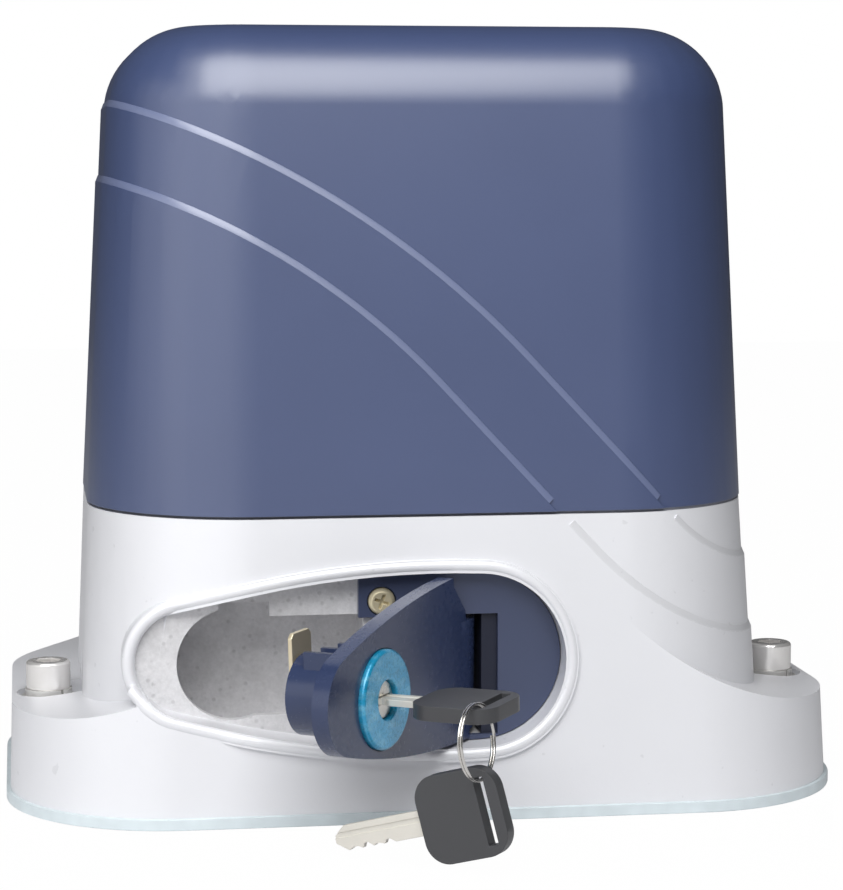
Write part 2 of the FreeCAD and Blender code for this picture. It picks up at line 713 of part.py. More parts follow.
tube_bore = cylinder("bearing_bore", d.bearing_outer / 2 + d.running_gap, bearing_one - 3,
                     bearing_two + d.bearing_width, x=shaft_x, z=d.shaft_z, axis="Y")
seal_bore = cylinder("seal_bore", d.seal_outer / 2 + d.running_gap, bearing_two, nose_end + 1,
                     x=shaft_x, z=d.shaft_z, axis="Y")

worm_space = d.worm_pitch_radius + d.wheel_module * d.wheel_teeth / 2
motor_x = shaft_x - worm_space
motor_y = d.wheel_y
shelf = block("worm_shelf", (-inner_length / 2 - 1, motor_x + 18.2), (motor_y - 20, motor_y + 20),
              (d.worm_shelf_top - 14, d.worm_shelf_top))
shelf_bore = cylinder("worm_bearing_seat", d.rotor_bearing_outer / 2 + d.running_gap,
                      d.worm_shelf_top - 12, d.worm_shelf_top + 1, x=motor_x, y=motor_y)
motor_bore = cylinder("motor_spigot_bore", 30.05, deck_low - 1, d.deck_top + 1, x=motor_x, y=motor_y)
cable_bore = cylinder("deck_cable_bore", d.grommet_bore / 2, deck_low - 1, d.deck_top + 1, x=d.grommet_x,
                      y=d.grommet_y)

pocket_low = d.ear_height - d.ear_pocket_depth
ear_cuts = []
for side, word in ((-1, "left"), (1, "right")):
    outer_x = d.ear_bolt_x * side
    inner_x = (d.ear_bolt_x - d.ear_slot_travel) * side
    for label, half, low, high in (("seat", d.ear_pocket_width / 2, pocket_low, d.seam_height),
                                   ("slot", ear_hole, d.plate_thick, pocket_low)):
        near, far = sorted((outer_x.value, inner_x.value))
        left, right = (outer_x, inner_x) if side < 0 else (inner_x, outer_x)
        outline = path((left, d.ear_bolt_y - half), (right, d.ear_bolt_y - half, half, 1),
                       (right + half, d.ear_bolt_y, half, 1), (right, d.ear_bolt_y + half),
                       (left, d.ear_bolt_y + half, half, 1), (left - half, d.ear_bolt_y, half, 1))
        ear_cuts.append(extrude("ear_%s_%s" % (label, word), "XY", [outline], low, high))
    ear_cuts.append(cylinder("ear_nut_room_" + word, 11, d.plate_thick, d.plate_thick + 10,
                             x=outer_x, y=d.ear_bolt_y))
ear_seats = [thing for thing in ear_cuts if "seat" in thing.Name]
ear_limits = [block("ear_limit_" + word, (x0, x1), (-d.base_depth, d.base_depth), (0, d.seam_height))
              for word, x0, x1 in (("left", -d.base_length, -d.body_length / 2 - d.side_flare - 0.2),
                                   ("right", d.body_length / 2 + d.side_flare + 0.2, d.base_length))]
ear_cuts = [thing for thing in ear_cuts if "seat" not in thing.Name]
ear_cuts += [common("ear_washer_seat_" + word, seat, limit)
             for word, seat, limit in zip(("left", "right"), ear_seats, ear_limits)]

posts = []
post_holes = []
for side, word in ((-1, "left"), (1, "right")):
    post_x = d.cover_screw_x * side
    posts.append(block("cover_post_" + word, (post_x - 7, post_x + 7),
                       (rear_wall - 5, rear_wall + 1.3), (deck_low, d.cover_screw_z + 6)))
    post_holes.append(cylinder("cover_post_hole_" + word, d.cover_screw_size / 2 + d.running_gap,
                               rear_wall - 10, rear_wall + 3, x=post_x, z=d.cover_screw_z, axis="Y"))

insert_hole = cylinder("insert_screw_hole", 2.5 + d.running_gap, front, d.ledge_y + 12,
                       x=d.insert_screw_x, z=d.insert_screw_z, axis="Y")
switch_back = d.body_depth / 2 + 6.2
switch_low = d.switch_z - 24
switch_high = d.switch_z - 2
switch_pad = block("switch_pad", (d.switch_x - 13, d.switch_x + 13), (rear_wall, switch_back),
                   (switch_low, switch_high))
casting_hollow = cut("casting_hollow", casting_outside, front_space, tray)
casting_ribs = joined("casting_with_inside", casting_hollow, web_boss, tube, shelf, switch_pad, *posts)
casting = node("gearbox_casting",
               cut("gearbox_casting", casting_ribs, recess, keyhole, keyhole_band, tongue_notch, chamber, drum_room,
                   drum_front, pin_hole, pin_bore, spring_seat, tube_bore, seal_bore, shelf_bore,
                   motor_bore, cable_bore, insert_hole, *ear_cuts, *post_holes))


# --- cover and gasket -------------------------------------------------------------------------------

cover_outside = joined(
    "cover_outside",
    cover_level("cover_upper_level", size_of(0), d.cover_top, d.cover_fillet),
    common("cover_middle_level",
           cover_level("cover_middle_form", d.sweep_step, d.cover_top, d.cover_fillet),
           under("cover_under_upper", UPPER)),
    common("cover_lower_level",
           cover_level("cover_lower_form", d.sweep_step * 2, d.cover_top, d.cover_fillet),
           under("cover_under_lower", LOWER)))
cover_inside = cover_level("cover_inside", -d.cover_wall, d.cover_top - d.cover_wall,
                           d.cover_fillet - d.cover_wall)
screw_seat = d.body_depth / 2 - 1.1
screw_cuts = []
for side, word in ((-1, "left"), (1, "right")):
    screw_cuts.append(cylinder("cover_screw_seat_" + word, 6, screw_seat, d.base_depth / 2,
                               x=d.cover_screw_x * side, z=d.cover_screw_z, axis="Y"))
    screw_cuts.append(cylinder("cover_screw_way_" + word, d.cover_screw_size / 2 + 0.5, rear_wall,
                               d.base_depth / 2, x=d.cover_screw_x * side, z=d.cover_screw_z, axis="Y"))
cover = node("top_cover", cut("top_cover", cover_outside, cover_inside, *screw_cuts))

gasket_outline = slab(d.body_length - 1, d.body_depth - 1, d.body_corner - 0.5)
gasket_hole = slab(inner_length + 3, inner_depth + 3, inner_corner + 1.5)
gasket = node("cover_gasket", cut(
    "cover_gasket",
    extrude("gasket_outside", "XY", [gasket_outline], d.seam_height - d.gasket_thick, d.seam_height),
    extrude("gasket_inside", "XY", [gasket_hole], d.seam_height - d.gasket_thick, d.seam_height)))


# --- fasteners of the ears --------------------------------------------------------------------------

def polygon(across_flats, sides=6, turn=0):
    """A regular polygon about the origin, by its width across flats."""
    reach = across_flats / cosine(size_of(180 / sides)) / 2
    points = []
    for number in range(sides):
        angle = math.radians(turn + 360 * number / sides)
        points.append((reach * math.cos(angle), reach * math.sin(angle)))
    return path(*points)


def ring_outline(inner, outer, low, high):
    return rectangle(inner, low, outer, high)


washer_z = pocket_low
spring_z = washer_z + d.flat_washer_thick
head_z = spring_z + d.spring_washer_thick
bolt_r = d.ear_bolt_size / 2
bolts = []
flat_washers = []
spring_washers = []
nuts = []
for side, word in ((-1, "left"), (1, "right")):
    where = (d.ear_bolt_x * side, d.ear_bolt_y)
    chamfer = d.ear_bolt_size * 0.08
    head_top = head_z + d.ear_bolt_size
    bolt = turned("ear_bolt_" + word,
                  path((0, 0.5), (bolt_r - 0.7, 0.5), (bolt_r, 1.2), (bolt_r, head_z),
                       (bolt_r * 1.6, head_z), (bolt_r * 1.6, head_top - chamfer),
                       (bolt_r * 1.6 - chamfer, head_top), (0, head_top)))
    socket = d.ear_bolt_size * 0.8
    pocket(bolt, "XY", [polygon(socket, turn=15)], d.ear_bolt_size * 0.55, lift=head_top)
    place(bolt, *where)
    bolts.append(bolt)
    flat = turned("ear_flat_washer_" + word,
                  ring_outline(ear_hole - 0.1, bolt_r * 2, washer_z, spring_z))
    flat_washers.append(place(flat, *where))
    spring = turned("ear_spring_washer_" + word,
                    ring_outline(bolt_r + 0.3, bolt_r * 1.7, spring_z, head_z))
    pocket(spring, "XY", [path((bolt_r, -0.4), (bolt_r * 2, 0.6), (bolt_r * 2, 1.6), (bolt_r, 0.6))],
           d.spring_washer_thick, lift=head_z)
    spring.Placement = FreeCAD.Placement(V(), FreeCAD.Rotation(V(0, 0, 1), -60))
    spring_washers.append(place(spring, *where))
    nut = new_body("weld_nut_" + word)
    pad(nut, "XY", [polygon(d.weld_nut_flats), circle(0, 0, bolt_r + d.running_gap)],
        d.weld_nut_height, d.plate_thick)
    nuts.append(place(nut, *where))
node("ear_bolts", group("ear_bolts", *bolts))
node("ear_flat_washers", group("ear_flat_washers", *flat_washers))
node("ear_spring_washers", group("ear_spring_washers", *spring_washers))
node("weld_nuts", group("weld_nuts", *nuts))


# --- fixed insert in the wide end of the recess -----------------------------------------------------

insert_face = d.ledge_y - d.insert_thick
insert_form = extrude("insert_form", "XZ", [teardrop(-0.3)], insert_face, d.ledge_y)
insert_left = block("insert_left_part", (d.insert_left, d.base_length), (front, 0), (0, d.seam_height))
insert_tab = block("insert_tab", (d.insert_tab_left, d.insert_left + 1), (front, 0),
                   (d.insert_tab_low, d.seam_height))
insert_area = common("insert_area", insert_form, joined("insert_limits", insert_left, insert_tab))
insert_slot = block("insert_slot", (d.insert_left - 1, d.insert_slot_right), (front, 0),
                    (d.insert_slot_low, d.insert_slot_high))
insert_hole_one = cylinder("insert_clear_hole", 2.8, front, 0, x=d.insert_screw_x, z=d.insert_screw_z, axis="Y")
head_sink = cylinder("insert_head_sink", d.insert_screw_head / 2 + 0.4, insert_face - 1, d.ledge_y - 1.2,
                     x=d.insert_screw_x, z=d.insert_screw_z, axis="Y")
insert_liner = block("insert_liner", (d.hinge_x + d.lever_reach + 1.4, d.insert_slot_right + 0.8),
                     (d.ledge_y - 1, d.hinge_y + 9), (d.insert_slot_low, d.insert_slot_high))
insert_plate = cut("insert_plate", insert_area, insert_slot, insert_hole_one, head_sink)
node("release_insert", joined("release_insert", insert_plate, insert_liner))

screw_r = d.insert_screw_head / 2
insert_screw = turned("insert_screw", path((0, -12), (2.2, -12), (2.5, -11.5), (2.5, 0), (screw_r, 0),
                                           (screw_r, 1.4), (screw_r - 1.2, 2.7), (0, 2.7)))
pocket(insert_screw, "XY", [rectangle(-2.6, -0.45, 2.6, 0.45)], 1.5, lift=2.7)
pocket(insert_screw, "XY", [rectangle(-0.45, -2.6, 0.45, 2.6)], 1.5, lift=2.7)
place(insert_screw, d.insert_screw_x, d.ledge_y - 1.2, d.insert_screw_z,
      FreeCAD.Rotation(V(0, 1, 0), 20) * FACE_FRONT)
node("insert_screw", insert_screw)


# --- release lever, in its own frame: hinge at the origin, closed, face towards -Y ------------------

hx, hy, hz = d.hinge_x, d.hinge_y, d.hinge_z


def opened(x, y, z):
    """Where a point of the closed lever lies with the lever open."""
    x, y, z = (size_of(v) for v in (x, y, z))
    lean_s = sine(d.hinge_lean)
    lean_c = cosine(d.hinge_lean)
    turn_s = sine(d.lever_open)
    turn_c = cosine(d.lever_open)
    along = (lean_c * z - lean_s * y) * (1 - turn_c)
    return (hx + x * turn_c - (lean_s * z + lean_c * y) * turn_s,
            hy + y * turn_c + lean_c * x * turn_s - lean_s * along,
            hz + z * turn_c + lean_s * x * turn_s + lean_c * along)


hinge_axis = V(0, -math.sin(math.radians(d.hinge_lean.value)), math.cos(math.radians(d.hinge_lean.value)))


def swung(thing):
    """Swing a piece made in the lever's frame out to the open lever."""
    thing.Placement = FreeCAD.Placement(V(), FreeCAD.Rotation(hinge_axis, d.lever_open.value))
    bind(thing, "Placement.Rotation.Angle", d.lever_open)
    for axis, size in zip("xyz", (hx, hy, hz)):
        bind(thing, "Placement.Base." + axis, size)
    return thing


face = -d.lever_reach
rim = face + d.lever_lip
skin = d.lever_skin


def lever_area(name, gap, edge, start, end):
    """The lever's outline, inset by gap, with its hinge side at x = edge, between two depths."""
    outside = extrude(name + "_drop", "XZ", [teardrop(-gap, hx, hz)], start, end)
    tip_z = d.lever_tip_z - hz
    side = path((-d.base_length, -hz), (edge, -hz), (edge, tip_z - 10.5),
                (edge - d.lever_tip_x, tip_z), (edge - d.lever_tip_x, hz), (-d.base_length, hz))
    return common(name, outside, extrude(name + "_side", "XZ", [side], start, end))


lever_plate = lever_area("lever_plate", d.lever_gap, size_of(-0.8), face, rim)
lever_hollow = lever_area("lever_hollow", d.lever_gap + skin, -0.8 - skin, face + skin, rim)
lock_x = d.lock_x - hx
lock_z = d.lock_z - hz
housing_end = face + d.barrel_depth
housing = cylinder("lock_housing", d.barrel_radius, face + skin - 0.1, housing_end, x=lock_x, z=lock_z, axis="Y")
ribs = [block("housing_rib_%d" % number,
              (lock_x - d.barrel_radius + 4.5 + number * 8, lock_x - d.barrel_radius + 6.5 + number * 8),
              (face + skin - 0.1, housing_end - 5 + number * -2.0),
              (lock_z + d.barrel_radius - 5, lock_z + d.barrel_radius + 2.2)) for number in range(3)]
drum_r = d.lever_reach
cam_r = drum_r - d.cam_lift
cam_half = drum_r - d.cam_lift / 2
middle_turn = 90 - d.lever_open / 2
open_turn = 90 - d.lever_open
drum_outline = path((0, drum_r, drum_r, 1), (-drum_r, 0, drum_r, 1), (0, -drum_r, drum_r, 1),
                    (drum_r * cosine(size_of(-50)), drum_r * sine(size_of(-50))),
                    (cam_r * cosine(size_of(-40)), cam_r * sine(size_of(-40)), cam_r, 1),
                    (cam_r * cosine(open_turn), cam_r * sine(open_turn)),
                    (cam_half * cosine(middle_turn), cam_half * sine(middle_turn)))
drum = new_body("lever_drum")
drum_height = d.hinge_high - d.hinge_low
pad(drum, "XY", [drum_outline, circle(0, 0, d.hinge_pin / 2 + d.running_gap)], drum_height,
    d.hinge_low - hz)
drum.Placement = FreeCAD.Placement(V(), lean)
neck = block("lever_neck", (-drum_r - 6, -drum_r * 0.6), (face + skin - 0.1, rim + 3),
             (d.hinge_low - hz + 3, d.hinge_high - hz - 3))
clear_pin = cylinder("lever_pin_clear", d.hinge_pin / 2 + d.running_gap, d.hinge_low - hz - 8,
                     d.hinge_high - hz + 8)
clear_pin.Placement = lean_place = FreeCAD.Placement(V(), lean)
clear_pin.Placement = lean_place.multiply(FreeCAD.Placement(V(0, 0, d.hinge_low.value - hz.value - 8),
                                                            FreeCAD.Rotation()))
case_bore = cylinder("lock_case_bore", d.lock_case_radius + d.running_gap, face - 1, housing_end + 1,
                     x=lock_x, z=lock_z, axis="Y")
face_sink = cylinder("lock_face_sink", d.lock_face_radius + 0.4, face - 1, face + 1.5,
                     x=lock_x, z=lock_z, axis="Y")
lever_shell = cut("lever_shell", lever_plate, lever_hollow)
reliefs = []
relief_left = size_of(-30)
relief_front = insert_face - hy - 0.9
relief_turn = FreeCAD.Rotation(V(0, 0, 1), -d.lever_open.value)
for word, low, high in (("low", 20 - hz, d.insert_slot_low - hz + 1.2),
                        ("high", d.insert_slot_high - hz - 1.2, 90 - hz)):
    relief = group("lever_relief_" + word,
                   block("lever_relief_block_" + word, (0, 70), (0, 16), (low, high)))
    reliefs.append(place(relief, relief_left * cosine(d.lever_open) + relief_front * sine(d.lever_open),
                         relief_front * cosine(d.lever_open) - relief_left * sine(d.lever_open), 0,
                         turn=relief_turn))
lever = node("release_lever", swung(cut("release_lever",
                                        joined("lever_solid", lever_shell, housing, drum, neck, *ribs),
                                        case_bore, face_sink, clear_pin, *reliefs)))

pin = turned("lever_hinge_pin", rectangle(0, 0, d.hinge_pin / 2, pin_length - 1))
node("lever_hinge_pin", along_hinge(pin, pin_drop - 0.5))


# --- lock, on its own axis: z runs out of the lock, 0 at the lever's face ---------------------------

LOCK_OUT = FACE_FRONT


def lock_piece(thing):
    """Put a piece made on the lock's axis into the lever's frame, then swing it out."""
    place(thing, lock_x, face, lock_z, LOCK_OUT)
    return swung(group(thing.Name + "_swung", thing))


proud = d.lock_face_proud
sink = 1.5
plug_r = d.plug_radius
back = size_of(0) - d.barrel_depth
face_r = d.lock_face_radius
face_plate = turned("lock_face_ring",
                    path((plug_r + 0.4, -sink), (face_r, -sink), (face_r, proud - 0.8),
                         (face_r - 0.8, proud), (plug_r + 0.9, proud), (plug_r + 0.4, proud - 0.5)))
node("lock_face_ring", lock_piece(face_plate))
lock_case = turned("lock_barrel",
                   rectangle(plug_r + d.running_gap, back - 0.4, d.lock_case_radius, -sink))
node("lock_barrel", lock_piece(lock_case))
key_gap = 0.3
slot_x = d.blade_width / 2 + key_gap
slot_z = d.blade_thick / 2 + key_gap
plug = turned("lock_plug", rectangle(0, back - 0.8, plug_r, 0.3))
pad(plug, "XY", [polygon(size_of(6.4), 4, 45)], d.tongue_thick, back - 0.8 - d.tongue_thick)
pocket(plug, "XY", [rectangle(-slot_x, -slot_z, slot_x, slot_z)], 22, lift=0.3)
node("lock_plug", lock_piece(plug))
tongue = new_body("lock_cam")
half_tongue = d.tongue_width / 2
tongue_outline = path((1.5 - half_tongue, -half_tongue), (half_tongue - 1.5, -half_tongue), (half_tongue, -2),
                      (half_tongue, d.tongue_reach - 1.5), (half_tongue - 1.5, d.tongue_reach),
                      (1.5 - half_tongue, d.tongue_reach), (-half_tongue, d.tongue_reach - 1.5),
                      (-half_tongue, -2))
pad(tongue, "XY", [tongue_outline, polygon(size_of(6.6), 4, 45)], d.tongue_thick,
    back - 0.8 - d.tongue_thick)
node("lock_cam", lock_piece(tongue))
cam_screw = turned("cam_screw", rectangle(0, back - 3.2 - d.tongue_thick, 4.4, back - 0.8 - d.tongue_thick))
node("cam_screw", lock_piece(cam_screw))


# --- keys and ring ----------------------------------------------------------------------------------

def key_head(name):
    """A key head from the origin along +Y, its thickness about z = 0."""
    body = new_body(name)
    low = d.key_head_thick * -0.5
    middle = d.key_head_length / 2
    pad(body, "XY", [slab(d.key_head_width, d.key_head_length, d.key_head_corner, 0, middle)],
        d.key_head_thick, low)
    slot_far = d.key_head_length - d.key_end_bar
    slot_near = slot_far - d.key_slot_width
    half = d.key_slot_length / 2
    pocket(body, "XY", [rectangle(-half, slot_near, half, slot_far)], d.key_head_thick, lift=-low)
    return body


def key_blade(name):
    """A flat blade from the head's front along -Y, cut on both edges."""
    body = new_body(name)
    half = d.blade_width / 2
    length = d.blade_length
    cuts = []
    notch = length / 8
    outline = [(-half, 0), (-half, -length + half), (0 - half * 0.3, -length),
               (half * 0.3, -length), (half, -length + half)]
    depths = (0.9, 1.5, 0.6, 1.3)
    for number, depth in enumerate(depths):
        far = -length + half + notch * (number + 0.5)
        outline += [(half - depth, far), (half - depth, far + notch * 0.35), (half, far + notch * 0.8)]
    outline += [(half, 0)]
    low = d.blade_thick * -0.5
    pad(body, "XY", [path(*outline)], d.blade_thick, low)
    pocket(body, "XY", [rectangle(half * -0.5, -length, half * -0.1, 0)], 0.5, lift=-low)
    return body


key_out = d.lock_face_proud + d.key_shoulder
for number, builder in (("head", key_head), ("blade", key_blade)):
    piece = builder("key_1_" + number)
    place(piece, lock_x, face - key_out, lock_z, FreeCAD.Rotation(V(0, 0, 1), 180))
    node("key_1_" + number, swung(group("key_1_%s_swung" % number, piece)))

slot_middle = d.key_head_length - d.key_end_bar - d.key_slot_width / 2
bar_x = d.key_slot_length / 4 + d.key_head_width / 4
ring_drop = root(d.ring_radius * d.ring_radius - size_of(81))
ring_spot = opened(lock_x - bar_x, face - key_out - slot_middle, lock_z)
ring_tilt = FreeCAD.Rotation(V(0, 0, 1), d.lever_open.value) * FreeCAD.Rotation(V(1, 0, 0), -d.ring_tilt.value)
ring = doc.addObject("Part::Torus", "key_ring")
bind(ring, "Radius1", d.ring_radius)
bind(ring, "Radius2", d.ring_wire / 2)
ring.Placement = FreeCAD.Placement(V(0, 0, -ring_drop.value), FACE_FRONT)
bind(ring, "Placement.Base.z", -ring_drop)
node("key_ring", place(group("key_ring_hung", ring), *ring_spot, turn=ring_tilt))

reach = ring_drop + d.ring_radius
out = reach * sine(d.ring_tilt)
spare_spot = (ring_spot[0] + out * sine(d.lever_open), ring_spot[1] - out * cosine(d.lever_open),
              ring_spot[2] - reach * cosine(d.ring_tilt))
hung = (FreeCAD.Rotation(V(0, 0, 1), d.lever_open.value)
        * FreeCAD.Rotation(V(1, 0, 0), -d.spare_key_droop.value)
        * FreeCAD.Rotation(V(0, 0, 1), 180) * FreeCAD.Rotation(V(0, 1, 0), 90))
for number, builder in (("head", key_head), ("blade", key_blade)):
    piece = builder("key_2_" + number)
    place(piece, d.key_slot_length / 2 - 1.4, -slot_middle, 0)
    node("key_2_" + number, place(group("key_2_%s_hung" % number, piece), *spare_spot, turn=hung))


# --- clutch ------------------------------------------------------------------------------------------

def along_shaft(thing, y=0):
    """Lay a turned piece on the output shaft's axis, its own Z towards the rear, from depth y."""
    return place(thing, shaft_x, y, d.shaft_z, ALONG_Y)


pin_r = d.clutch_pin / 2
pin_tip = d.hinge_y + cam_r + d.cam_gap
cone_front = d.wheel_y - d.wheel_width / 2 - 19
plunger = turned("clutch_plunger",
                 path((0, pin_tip), (2.5, pin_tip), (4.8, pin_tip + 1.2), (4.8, pin_tip + 2.2),
                      (pin_r, pin_tip + 2.2), (pin_r, cone_front - 3.5), (6.5, cone_front - 3.5),
                      (6.5, cone_front), (0, cone_front)))
node("clutch_plunger", along_shaft(plunger))

coil_low = pin_tip + 2.2
coil_high = clutch_web_end - 6
coil_turns = 5
coil_wire = 0.55
coil = doc.addObject("Part::Helix", "clutch_spring_line")
bind(coil, "Height", coil_high - coil_low - coil_wire * 2)
bind(coil, "Pitch", (coil_high - coil_low - coil_wire * 2) / coil_turns)
bind(coil, "Radius", pin_r + 1.3)
doc.recompute()
wire_end = doc.addObject("Part::Circle", "clutch_spring_wire")
wire_end.Radius = coil_wire
wire_end.Placement = FreeCAD.Placement(V(pin_r.value + 1.3, 0, 0), FACE_FRONT)
bind(wire_end, "Placement.Base.x", pin_r + 1.3)
spring = doc.addObject("Part::Sweep", "clutch_spring")
spring.Sections = [wire_end]
spring.Spine = (coil, ["Edge%d" % (n + 1) for n in range(len(coil.Shape.Edges))])
spring.Solid = True
spring.Frenet = True
node("clutch_spring", along_shaft(group("clutch_spring_set", spring), coil_low + coil_wire))

wheel_front = d.wheel_y - d.wheel_width / 2
shaft_r = d.shaft_size / 2
cone_end = wheel_front + d.clutch_depth - 0.4 - d.cam_lift
cone_slope = d.clutch_taper / d.clutch_depth
cone_wide = d.clutch_radius - 0.4
cone_start = wheel_front - d.cam_lift
cone = turned("clutch_cone",
              path((0, cone_front), (14, cone_front), (16, cone_front + 2), (16, cone_start - 3),
                   (cone_wide, cone_start), (cone_wide - cone_slope * (d.clutch_depth - 0.4), cone_end),
                   (shaft_r + d.running_gap, cone_end), (shaft_r + d.running_gap, cone_front + 4.5),
                   (0, cone_front + 4.5)))
node("clutch_cone", along_shaft(cone))


# --- output shaft, wheel, bearings, pinion ----------------------------------------------------------

def gear_gap(module, teeth, depth_in, width_at_tip, width_at_root):
    """One gap between teeth, as an outline at the +X side of the wheel."""
    tip = module * (teeth + 2) / 2 + 0.5
    foot = module * teeth / 2 - depth_in
    return path((foot, -width_at_root / 2), (tip, -width_at_tip / 2),
                (tip, width_at_tip / 2), (foot, width_at_root / 2))


def toothed(name, module, teeth, outline):
    """A turned blank with its gaps cut round its rim."""
    body = turned(name, outline)
    whole = body.Tip
    gap = pocket(body, "XY", [gear_gap(module, teeth, module * 1.25, module * 2.1, module * 1.05)],
                 d.base_length, lift=d.base_length / 2)
    pattern = body.newObject("PartDesign::PolarPattern", name + "_teeth")
    pattern.Originals = [gap]
    pattern.Axis = (gap.Profile[0], ["N_Axis"])
    pattern.Angle = 360
    bind(pattern, "Occurrences", teeth)
    body.Tip = pattern
    return body


wheel_r = d.wheel_module * (d.wheel_teeth + 2) / 2
wheel_back = d.wheel_y + d.wheel_width / 2
recess_r = d.clutch_radius
bore_r = shaft_r + d.running_gap
wheel = toothed("worm_wheel", d.wheel_module, d.wheel_teeth,
                path((bore_r, wheel_front + d.clutch_depth), (recess_r - d.clutch_taper, wheel_front + d.clutch_depth),
                     (recess_r, wheel_front), (wheel_r, wheel_front), (wheel_r, wheel_back),
                     (shaft_r + 6, wheel_back), (shaft_r + 6, wheel_back + 3), (bore_r, wheel_back + 3)))
node("worm_wheel", along_shaft(wheel))

journal_r = shaft_r - 1.5
pinion_front = nose_end + d.pinion_gap
pinion_back = pinion_front + d.pinion_width
shaft = turned("output_shaft",
               path((0, cone_front + 9.5), (shaft_r - 1, cone_front + 9.5), (shaft_r, cone_front + 10.5),
                    (shaft_r, bearing_one), (journal_r, bearing_one), (journal_r, pinion_back - 1),
                    (3.45, pinion_back - 1), (3.45, pinion_back - 20), (0, pinion_back - 20)))
key_half = d.key_stock / 2
key_low = journal_r - d.key_stock * 0.4
key_length = d.pinion_width - 7
pocket(shaft, "XZ", [rectangle(key_low, pinion_front + 3, shaft_r + 2, pinion_front + 3 + key_length)],
       d.key_stock, lift=-key_half, reverse=True)
node("output_shaft", along_shaft(shaft))
pinion_tip = d.pinion_module * (d.pinion_teeth + 2) / 2
pinion = toothed("output_pinion", d.pinion_module, d.pinion_teeth,
                 path((journal_r + d.running_gap, pinion_front), (pinion_tip - 1.2, pinion_front),
                      (pinion_tip, pinion_front + 1.2), (pinion_tip, pinion_back - 1.2),
                      (pinion_tip - 1.2, pinion_back), (journal_r + d.running_gap, pinion_back)))
doc.recompute()
pinion_way = pocket(pinion, "XY", [rectangle(0, -key_half, key_low + d.key_stock + 0.3, key_half)],
                    d.pinion_width + 2, lift=pinion_back + 1)
node("output_pinion", along_shaft(pinion))
pinion_key = block("pinion_key", (key_low, key_low + d.key_stock), (-key_half, key_half),
                   (pinion_front + 3, pinion_front + 3 + key_length))
node("pinion_key", along_shaft(group("pinion_key_set", pinion_key)))
keep = turned("pinion_washer", rectangle(4.3, pinion_back, 14, pinion_back + 3))
node("pinion_washer", along_shaft(keep))
end_bolt = turned("pinion_bolt", path((0, pinion_back - 17), (3.4, pinion_back - 17), (3.4, pinion_back + 3),
                                      (6.5, pinion_back + 3), (6.5, pinion_back + 7.5),
                                      (6, pinion_back + 8), (0, pinion_back + 8)))
pocket(end_bolt, "XY", [polygon(size_of(5))], 4, lift=pinion_back + 8)
node("pinion_bolt", along_shaft(end_bolt))

outer_r = d.bearing_outer / 2
race = d.bearing_race
outers = []
inners = []
shields = []
for number, start in enumerate((bearing_one, bearing_two)):
    stop = start + d.bearing_width
    outers.append(along_shaft(turned("bearing_outer_%d" % number, rectangle(outer_r - race, start, outer_r, stop))))
    inners.append(along_shaft(turned("bearing_inner_%d" % number,
                                     rectangle(journal_r + d.running_gap, start, journal_r + race, stop))))
    shields.append(along_shaft(turned("bearing_shield_%d" % number,
                                      rectangle(journal_r + race + 0.4, start + 1, outer_r - race - 0.4, stop - 1))))
node("shaft_bearing_outers", group("shaft_bearing_outers", *outers))
node("shaft_bearing_inners", group("shaft_bearing_inners", *inners))
node("shaft_bearing_cages", group("shaft_bearing_cages", *shields))
spacer = turned("shaft_spacer", rectangle(journal_r + d.running_gap, bearing_one + d.bearing_width,
                                          journal_r + 3, bearing_two))
node("shaft_spacer", along_shaft(spacer))
seal_r = d.seal_outer / 2
seal = turned("shaft_seal", path((journal_r + d.running_gap, seal_start + 1), (journal_r + 1, seal_start + 1),
                                 (journal_r + 4, seal_start + 3), (seal_r - 1.5, seal_start + 3),
                                 (seal_r - 1.5, seal_start), (seal_r, seal_start),
                                 (seal_r, seal_start + d.seal_width), (journal_r + 2, seal_start + d.seal_width),
                                 (journal_r + d.running_gap, seal_start + 2.5)))
node("shaft_seal", along_shaft(seal))


# --- motor -------------------------------------------------------------------------------------------

def on_motor(thing):
    return place(thing, motor_x, motor_y, 0)


rotor_r = d.rotor_shaft / 2
rotor_bearing_r = d.rotor_bearing_outer / 2
motor_low = d.deck_top
motor_mid = motor_low + d.shield_height
motor_high = motor_mid + d.stator_height
motor_top = motor_high + d.shield_height
inside = d.motor_radius - d.motor_wall
seat = rotor_bearing_r + d.running_gap
low_shield = turned("motor_flange",
                    path((seat, deck_low), (30, deck_low), (30, motor_low), (d.motor_radius, motor_low),
                         (d.motor_radius, motor_mid), (inside, motor_mid), (inside, motor_low + 5),
                         (24, motor_low + 5), (24, motor_low + d.rotor_bearing_width), (seat, motor_low + d.rotor_bearing_width)))
node("motor_flange", on_motor(low_shield))
stator = turned("motor_stator", rectangle(d.stator_bore, motor_mid, d.motor_radius, motor_high))
node("motor_stator", on_motor(stator))
windings = []
for number, (low, high) in enumerate(((motor_mid - 12, motor_mid - 0.1), (motor_high + 0.1, motor_high + 12))):
    windings.append(on_motor(turned("winding_%d" % number,
                                    path((d.stator_bore + 2, low + 2), (d.stator_bore + 4, low), (44, low),
                                         (46, low + 2), (46, high - 1), (45, high), (d.stator_bore + 3, high),
                                         (d.stator_bore + 2, high - 1)))))
node("motor_windings", group("motor_windings", *windings))
rotor_bore = rotor_r + d.running_gap
rotor_out = d.stator_bore - d.rotor_gap
rotor = turned("motor_rotor", path((rotor_bore, motor_mid - 3), (rotor_out - 8, motor_mid - 3),
                                   (rotor_out, motor_mid), (rotor_out, motor_high),
                                   (rotor_out - 8, motor_high + 3), (rotor_bore, motor_high + 3)))
node("motor_rotor", on_motor(rotor))
worm_out = d.worm_pitch_radius + d.wheel_module
worm_low = d.shaft_z - 20
worm_high = d.shaft_z + 20
bearing_foot = d.worm_shelf_top - 12
